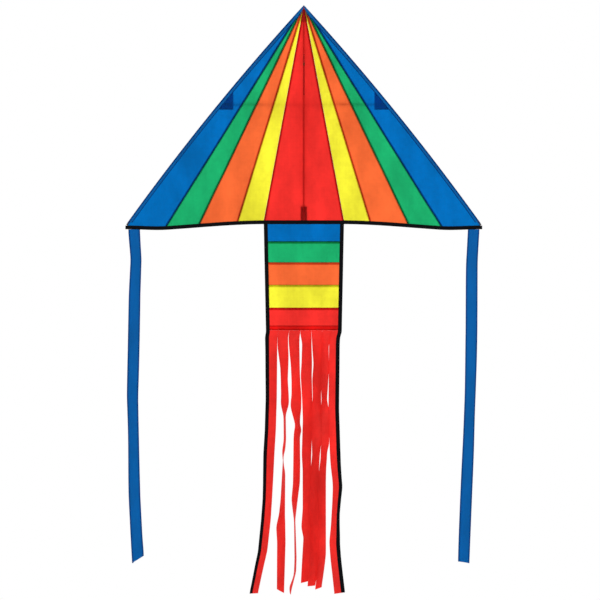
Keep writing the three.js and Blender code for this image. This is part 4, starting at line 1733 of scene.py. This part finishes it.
@dataclass
class Fringe:
    """Seven strips cut from one piece of red nylon, with tape down the two outer ones."""

    wardrobe: Wardrobe
    hangs: tuple[StripHang, ...] = FRINGE
    steps: int = 190
    tape_width: float = 13 * MM
    tape_thickness: float = 1.2 * MM
    reach_up: float = 0.78 * MM

    def __post_init__(self) -> None:
        """Reads the fringe's length and width from the frame."""
        low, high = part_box("fringe_strip_3")
        self.full = high.z - low.z
        self.half = self.tape_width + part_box("fringe_tape_right")[0].x

    def line(self, number: int) -> tuple[np.ndarray, np.ndarray, float]:
        """A strip's middle line, its turning and its width.

        Args:
            number: the strip's place from the left, counted from 1.

        Returns:
            The line's points, unit vectors across the strip and its width.
        """
        widths = np.array([hang.width for hang in self.hangs], float)
        widths *= 2 * self.half / widths.sum()
        hang = self.hangs[number - 1]
        start = -self.half + widths[: number - 1].sum() + widths[number - 1] / 2
        low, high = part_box(f"fringe_strip_{number}")
        length = high.z - low.z
        sway = softened([(share, value) for share, value, _ in hang.keys], self.steps) * MM
        turn = np.radians(softened([(share, value) for share, _, value in hang.keys], self.steps))
        share = np.linspace(0, 1, self.steps)
        flow = smooth_step(share, 0, 0.1) * (
            5 * np.sin(share * 9 + number * 1.7) + 3 * np.sin(share * 23 + number * 2.9)
        )
        level = high.z + self.reach_up - share * length
        points = np.stack([start + sway * smooth_step(share, 0, 0.03), flow * MM, level], axis=1)
        across = np.stack([np.cos(turn), np.sin(turn), np.zeros(self.steps)], axis=1)
        return points, across, float(widths[number - 1])

    def strip(self, number: int) -> None:
        """One strip, which hangs with its own sway and turning.

        Args:
            number: its place from the left, counted from 1.
        """
        points, across, width = self.line(number)
        hang = self.hangs[number - 1]
        places = np.linspace(-0.5, 0.5, 9)
        square = np.stack([-across[:, 1], across[:, 0], across[:, 2]], axis=1)
        share = np.linspace(0, 1, self.steps)
        depth = 0.2 * MM if hang.taped else 1.6 * MM
        bend = depth * np.sin(share * 17 + number * 1.3) * smooth_step(share, 0, 0.08)
        cup = np.cos(places * math.pi)[None, :] * bend[:, None]
        gap = 0.1 * MM
        grid = points[:, None] + across[:, None] * (places * (width - gap))[
            None, :, None
        ] + square[:, None] * cup[..., None]
        end = smooth_step(share, 0.93, 1.0)[:, None] * (places * hang.slant * MM)[None, :]
        grid[..., 2] -= end
        cut = np.stack(np.broadcast_arrays(share[:, None] * self.full, places[None, :] * width), axis=2)
        body = f"fringe_{number}"
        made = Cloth().shell(grid, 0.35 * MM, cut).build(
            f"fringe_ribbon_{number}", body, "nylon_red", self.wardrobe.strip
        )
        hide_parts(f"fringe_strip_{number}")
        edging = []
        if hang.taped:
            edging = [self.edging(number, grid, across, square)]

    def edging(
        self, number: int, grid: np.ndarray, across: np.ndarray, square: np.ndarray
    ) -> bpy.types.Object:
        """The tape folded over the outer edge of an outer strip.

        Args:
            number: the strip's number.
            grid: the strip's points.
            across: unit vectors across it.
            square: unit vectors square to it.

        Returns:
            The tape.
        """
        side = Side.LEFT if number == 1 else Side.RIGHT
        edge = grid[:, 0 if side is Side.LEFT else -1]
        inward = -across * side.sign
        made = Cloth().shell(
            folded_over(edge, inward, square, tape_section(self.tape_width, self.tape_thickness)), 0.45 * MM
        )
        for out in (-1, 1):
            line = edge + inward * (self.tape_width - 2 * MM) + square * out * 0.9 * MM
            Thread().sew(made, line, np.array([0, float(out), 0]))
        piece = made.build(
            f"fringe_edging_{side.value}", f"fringe_{number}", "black_tape", self.wardrobe.tape
        )
        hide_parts(f"fringe_tape_{side.value}")
        return piece

    def build(self) -> None:
        """Makes and dresses every strip."""
        for number in range(1, len(self.hangs) + 1):
            self.strip(number)


# ---- Streamers ----


@dataclass
class Streamer:
    """The long ribbon that hangs from one wing tip."""

    side: Side
    plan: SailPlan
    wardrobe: Wardrobe
    width: float = 40 * MM
    middle: float = 0.580
    hem: float = 5 * MM
    let_out: float = 24 * MM

    @property
    def sway(self) -> list[tuple[float, float]]:
        """Keys of share down the ribbon and how far it has swung in towards the tail."""
        if self.side is Side.LEFT:
            return [(0, 0), (0.03, 2), (0.09, 7), (0.2, 1), (0.5, -6), (0.8, 2), (1, 13)]
        return [(0, 0), (0.03, 2), (0.1, 6), (0.3, 8), (0.5, 13), (0.8, 26), (1, 34)]

    def build(self) -> None:
        """Makes and dresses the ribbon with its hems."""
        name = f"streamer_{self.side.value}"
        low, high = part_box(name)
        foot = np.array([[self.middle, float(self.plan.trailing_edge(self.middle)) - 12.9 * MM]])
        top = self.plan.placed(foot, 0.0, self.side)[0]
        across = self.plan.turned((1, 0, 0), self.side) * self.side.sign
        across[2] = 0
        across /= np.linalg.norm(across)
        steps = 170
        share = np.linspace(0, 1, steps)
        length = high.z - low.z + self.let_out
        x = top[0] - self.side.sign * softened(self.sway, steps) * MM
        y = top[1] + (
            7 * np.sin(share * 7 + self.side.sign) - 7 * math.sin(self.side.sign)
        ) * MM * smooth_step(share, 0, 0.1)
        points = np.stack([x, y, high.z + 0.7 * MM - share * length], axis=1)
        turn = np.radians(12 * np.sin(share * 11 + 2 * self.side.sign) * smooth_step(share, 0, 0.1))
        square = np.array([-across[1], across[0], 0])
        ways = np.cos(turn)[:, None] * across + np.sin(turn)[:, None] * square
        faces = -np.sin(turn)[:, None] * across + np.cos(turn)[:, None] * square
        places = np.linspace(-0.5, 0.5, 11)
        cup = (np.cos(places * math.pi)[None, :] - 0.5) * (
            2.2 * MM * np.sin(share * 19 + self.side.sign)
        )[:, None]
        pleat = np.sin(places * 14)[None, :] * 1.2 * MM * (1 - smooth_step(share, 0, 0.04))[:, None]
        grid = points[:, None] + ways[:, None] * (places * self.width)[None, :, None] + faces[:, None] * (
            cup + pleat
        )[..., None]
        slant = (25 if self.side is Side.LEFT else 7) * MM
        outer = self.side.sign * places + 0.5
        grid[..., 2] += smooth_step(share, 0.9, 1.0)[:, None] * ((1 - outer) * slant)[None, :]
        cut = np.stack(np.broadcast_arrays((share * length)[:, None], (places * self.width)[None, :]), axis=2)
        made = Cloth().shell(grid, 0.4 * MM, cut).build(
            f"{name}_ribbon", name, "ribbon_blue", self.wardrobe.ribbon
        )
        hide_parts(name)
        hems = Cloth()
        for edge, inward in ((0, 1), (-1, -1)):
            rim = grid[:, edge][:, None] + ways[:, None] * (np.linspace(0, 1, 3) * self.hem * inward)[
                None, :, None
            ]
            hems.shell(rim + faces[:, None] * 0.55 * MM, 0.4 * MM)
        joined = hems.build(f"{name}_hems", name, "ribbon_blue", self.wardrobe.ribbon)


# ---- The studio ----


@dataclass
class Studio:
    """A pale floor well below the kite, soft lights round it, and the camera in front."""

    distance: float = 5.0
    aim: Vector = field(default_factory=lambda: Vector((-0.013, 0, -0.994)))
    lens: float = 89.0
    floor_level: float = -2.75
    floor_radius: float = 3.4

    def floor(self) -> None:
        """The floor."""
        mesh = bpy.data.meshes.new("floor")
        turns = np.linspace(0, math.tau, 128, endpoint=False)
        rim = [(self.floor_radius * math.cos(turn), self.floor_radius * math.sin(turn), 0) for turn in turns]
        mesh.from_pydata(rim, [], [tuple(range(len(rim)))])
        bench = NodeBench("floor_paint")
        paint = bench.node("BsdfPrincipled")
        bench.join(bench.shade((0.8, 0.8, 0.79), bench.speckle(6, 4), 0.96, 1.03), paint.inputs["Base Color"])
        paint.inputs["Roughness"].default_value = 0.7
        mesh.materials.append(bench.finish(paint.outputs[0]))
        floor = bpy.data.objects.new("floor", mesh)
        floor.location = (0, 0, self.floor_level)
        bpy.context.scene.collection.objects.link(floor)
        floor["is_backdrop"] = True

    def world(self) -> None:
        """White all round, a little dimmer as light than as it is seen."""
        world = bpy.data.worlds.new("studio")
        world.use_nodes = True
        tree = world.node_tree
        tree.nodes.clear()
        seen = tree.nodes.new("ShaderNodeLightPath")
        mix = tree.nodes.new("ShaderNodeMixShader")
        for index, strength in ((1, 0.95), (2, 1.0)):
            glow = tree.nodes.new("ShaderNodeBackground")
            glow.inputs[0].default_value = (1, 1, 1, 1)
            glow.inputs[1].default_value = strength
            tree.links.new(glow.outputs[0], mix.inputs[index])
        tree.links.new(seen.outputs["Is Camera Ray"], mix.inputs[0])
        output = tree.nodes.new("ShaderNodeOutputWorld")
        tree.links.new(mix.outputs[0], output.inputs[0])
        bpy.context.scene.world = world

    def lamp(self, name: str, place: Sequence[float], power: float, size: float) -> None:
        """A soft square light aimed at the kite.

        Args:
            name: the light's name.
            place: where it stands.
            power: in watts.
            size: its side.
        """
        data = bpy.data.lights.new(name, "AREA")
        data.energy = power
        data.size = size
        lamp = bpy.data.objects.new(name, data)
        lamp.location = place
        lamp.rotation_euler = (self.aim - Vector(place)).to_track_quat("-Z", "Y").to_euler()
        bpy.context.scene.collection.objects.link(lamp)

    def camera(self) -> None:
        """The camera, level and square to the kite."""
        data = bpy.data.cameras.new("camera")
        data.lens = self.lens
        data.sensor_width = 36
        camera = bpy.data.objects.new("camera", data)
        camera.location = self.aim + Vector((0, -self.distance, 0))
        camera.rotation_euler = (math.pi / 2, 0, 0)
        bpy.context.scene.collection.objects.link(camera)
        bpy.context.scene.camera = camera

    def build(self) -> None:
        """Sets the whole studio up."""
        self.floor()
        self.world()
        self.lamp("key", (-1.4, -4.2, 1.6), 40, 2.0)
        self.lamp("fill", (1.6, -4.4, -0.6), 18, 2.5)
        self.lamp("rear", (0.6, 3.2, 0.6), 34, 2.5)
        self.camera()
        bpy.context.scene.view_settings.view_transform = "Standard"


def main() -> None:
    """Builds the kite and its studio, piece by piece."""
    logging.basicConfig(level=logging.INFO, format="%(name)s: %(message)s")
    wardrobe = Wardrobe()
    plan = SailPlan()
    Studio().build()
    for side in Side:
        Wing(side, plan, wardrobe).build()
    MiddlePanel(plan, wardrobe).build()
    Keel(plan, wardrobe).build()
    Tail(wardrobe).build()
    Fringe(wardrobe).build()
    for side in Side:
        Streamer(side, plan, wardrobe).build()
    boxes = {"cad": CAD_BOX, "visual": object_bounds()}
    plain = {name: [[float(value) for value in corner] for corner in box] for name, box in boxes.items()}
    log.info("boxes: %s", plain)


if __name__ == "__main__":
    main()
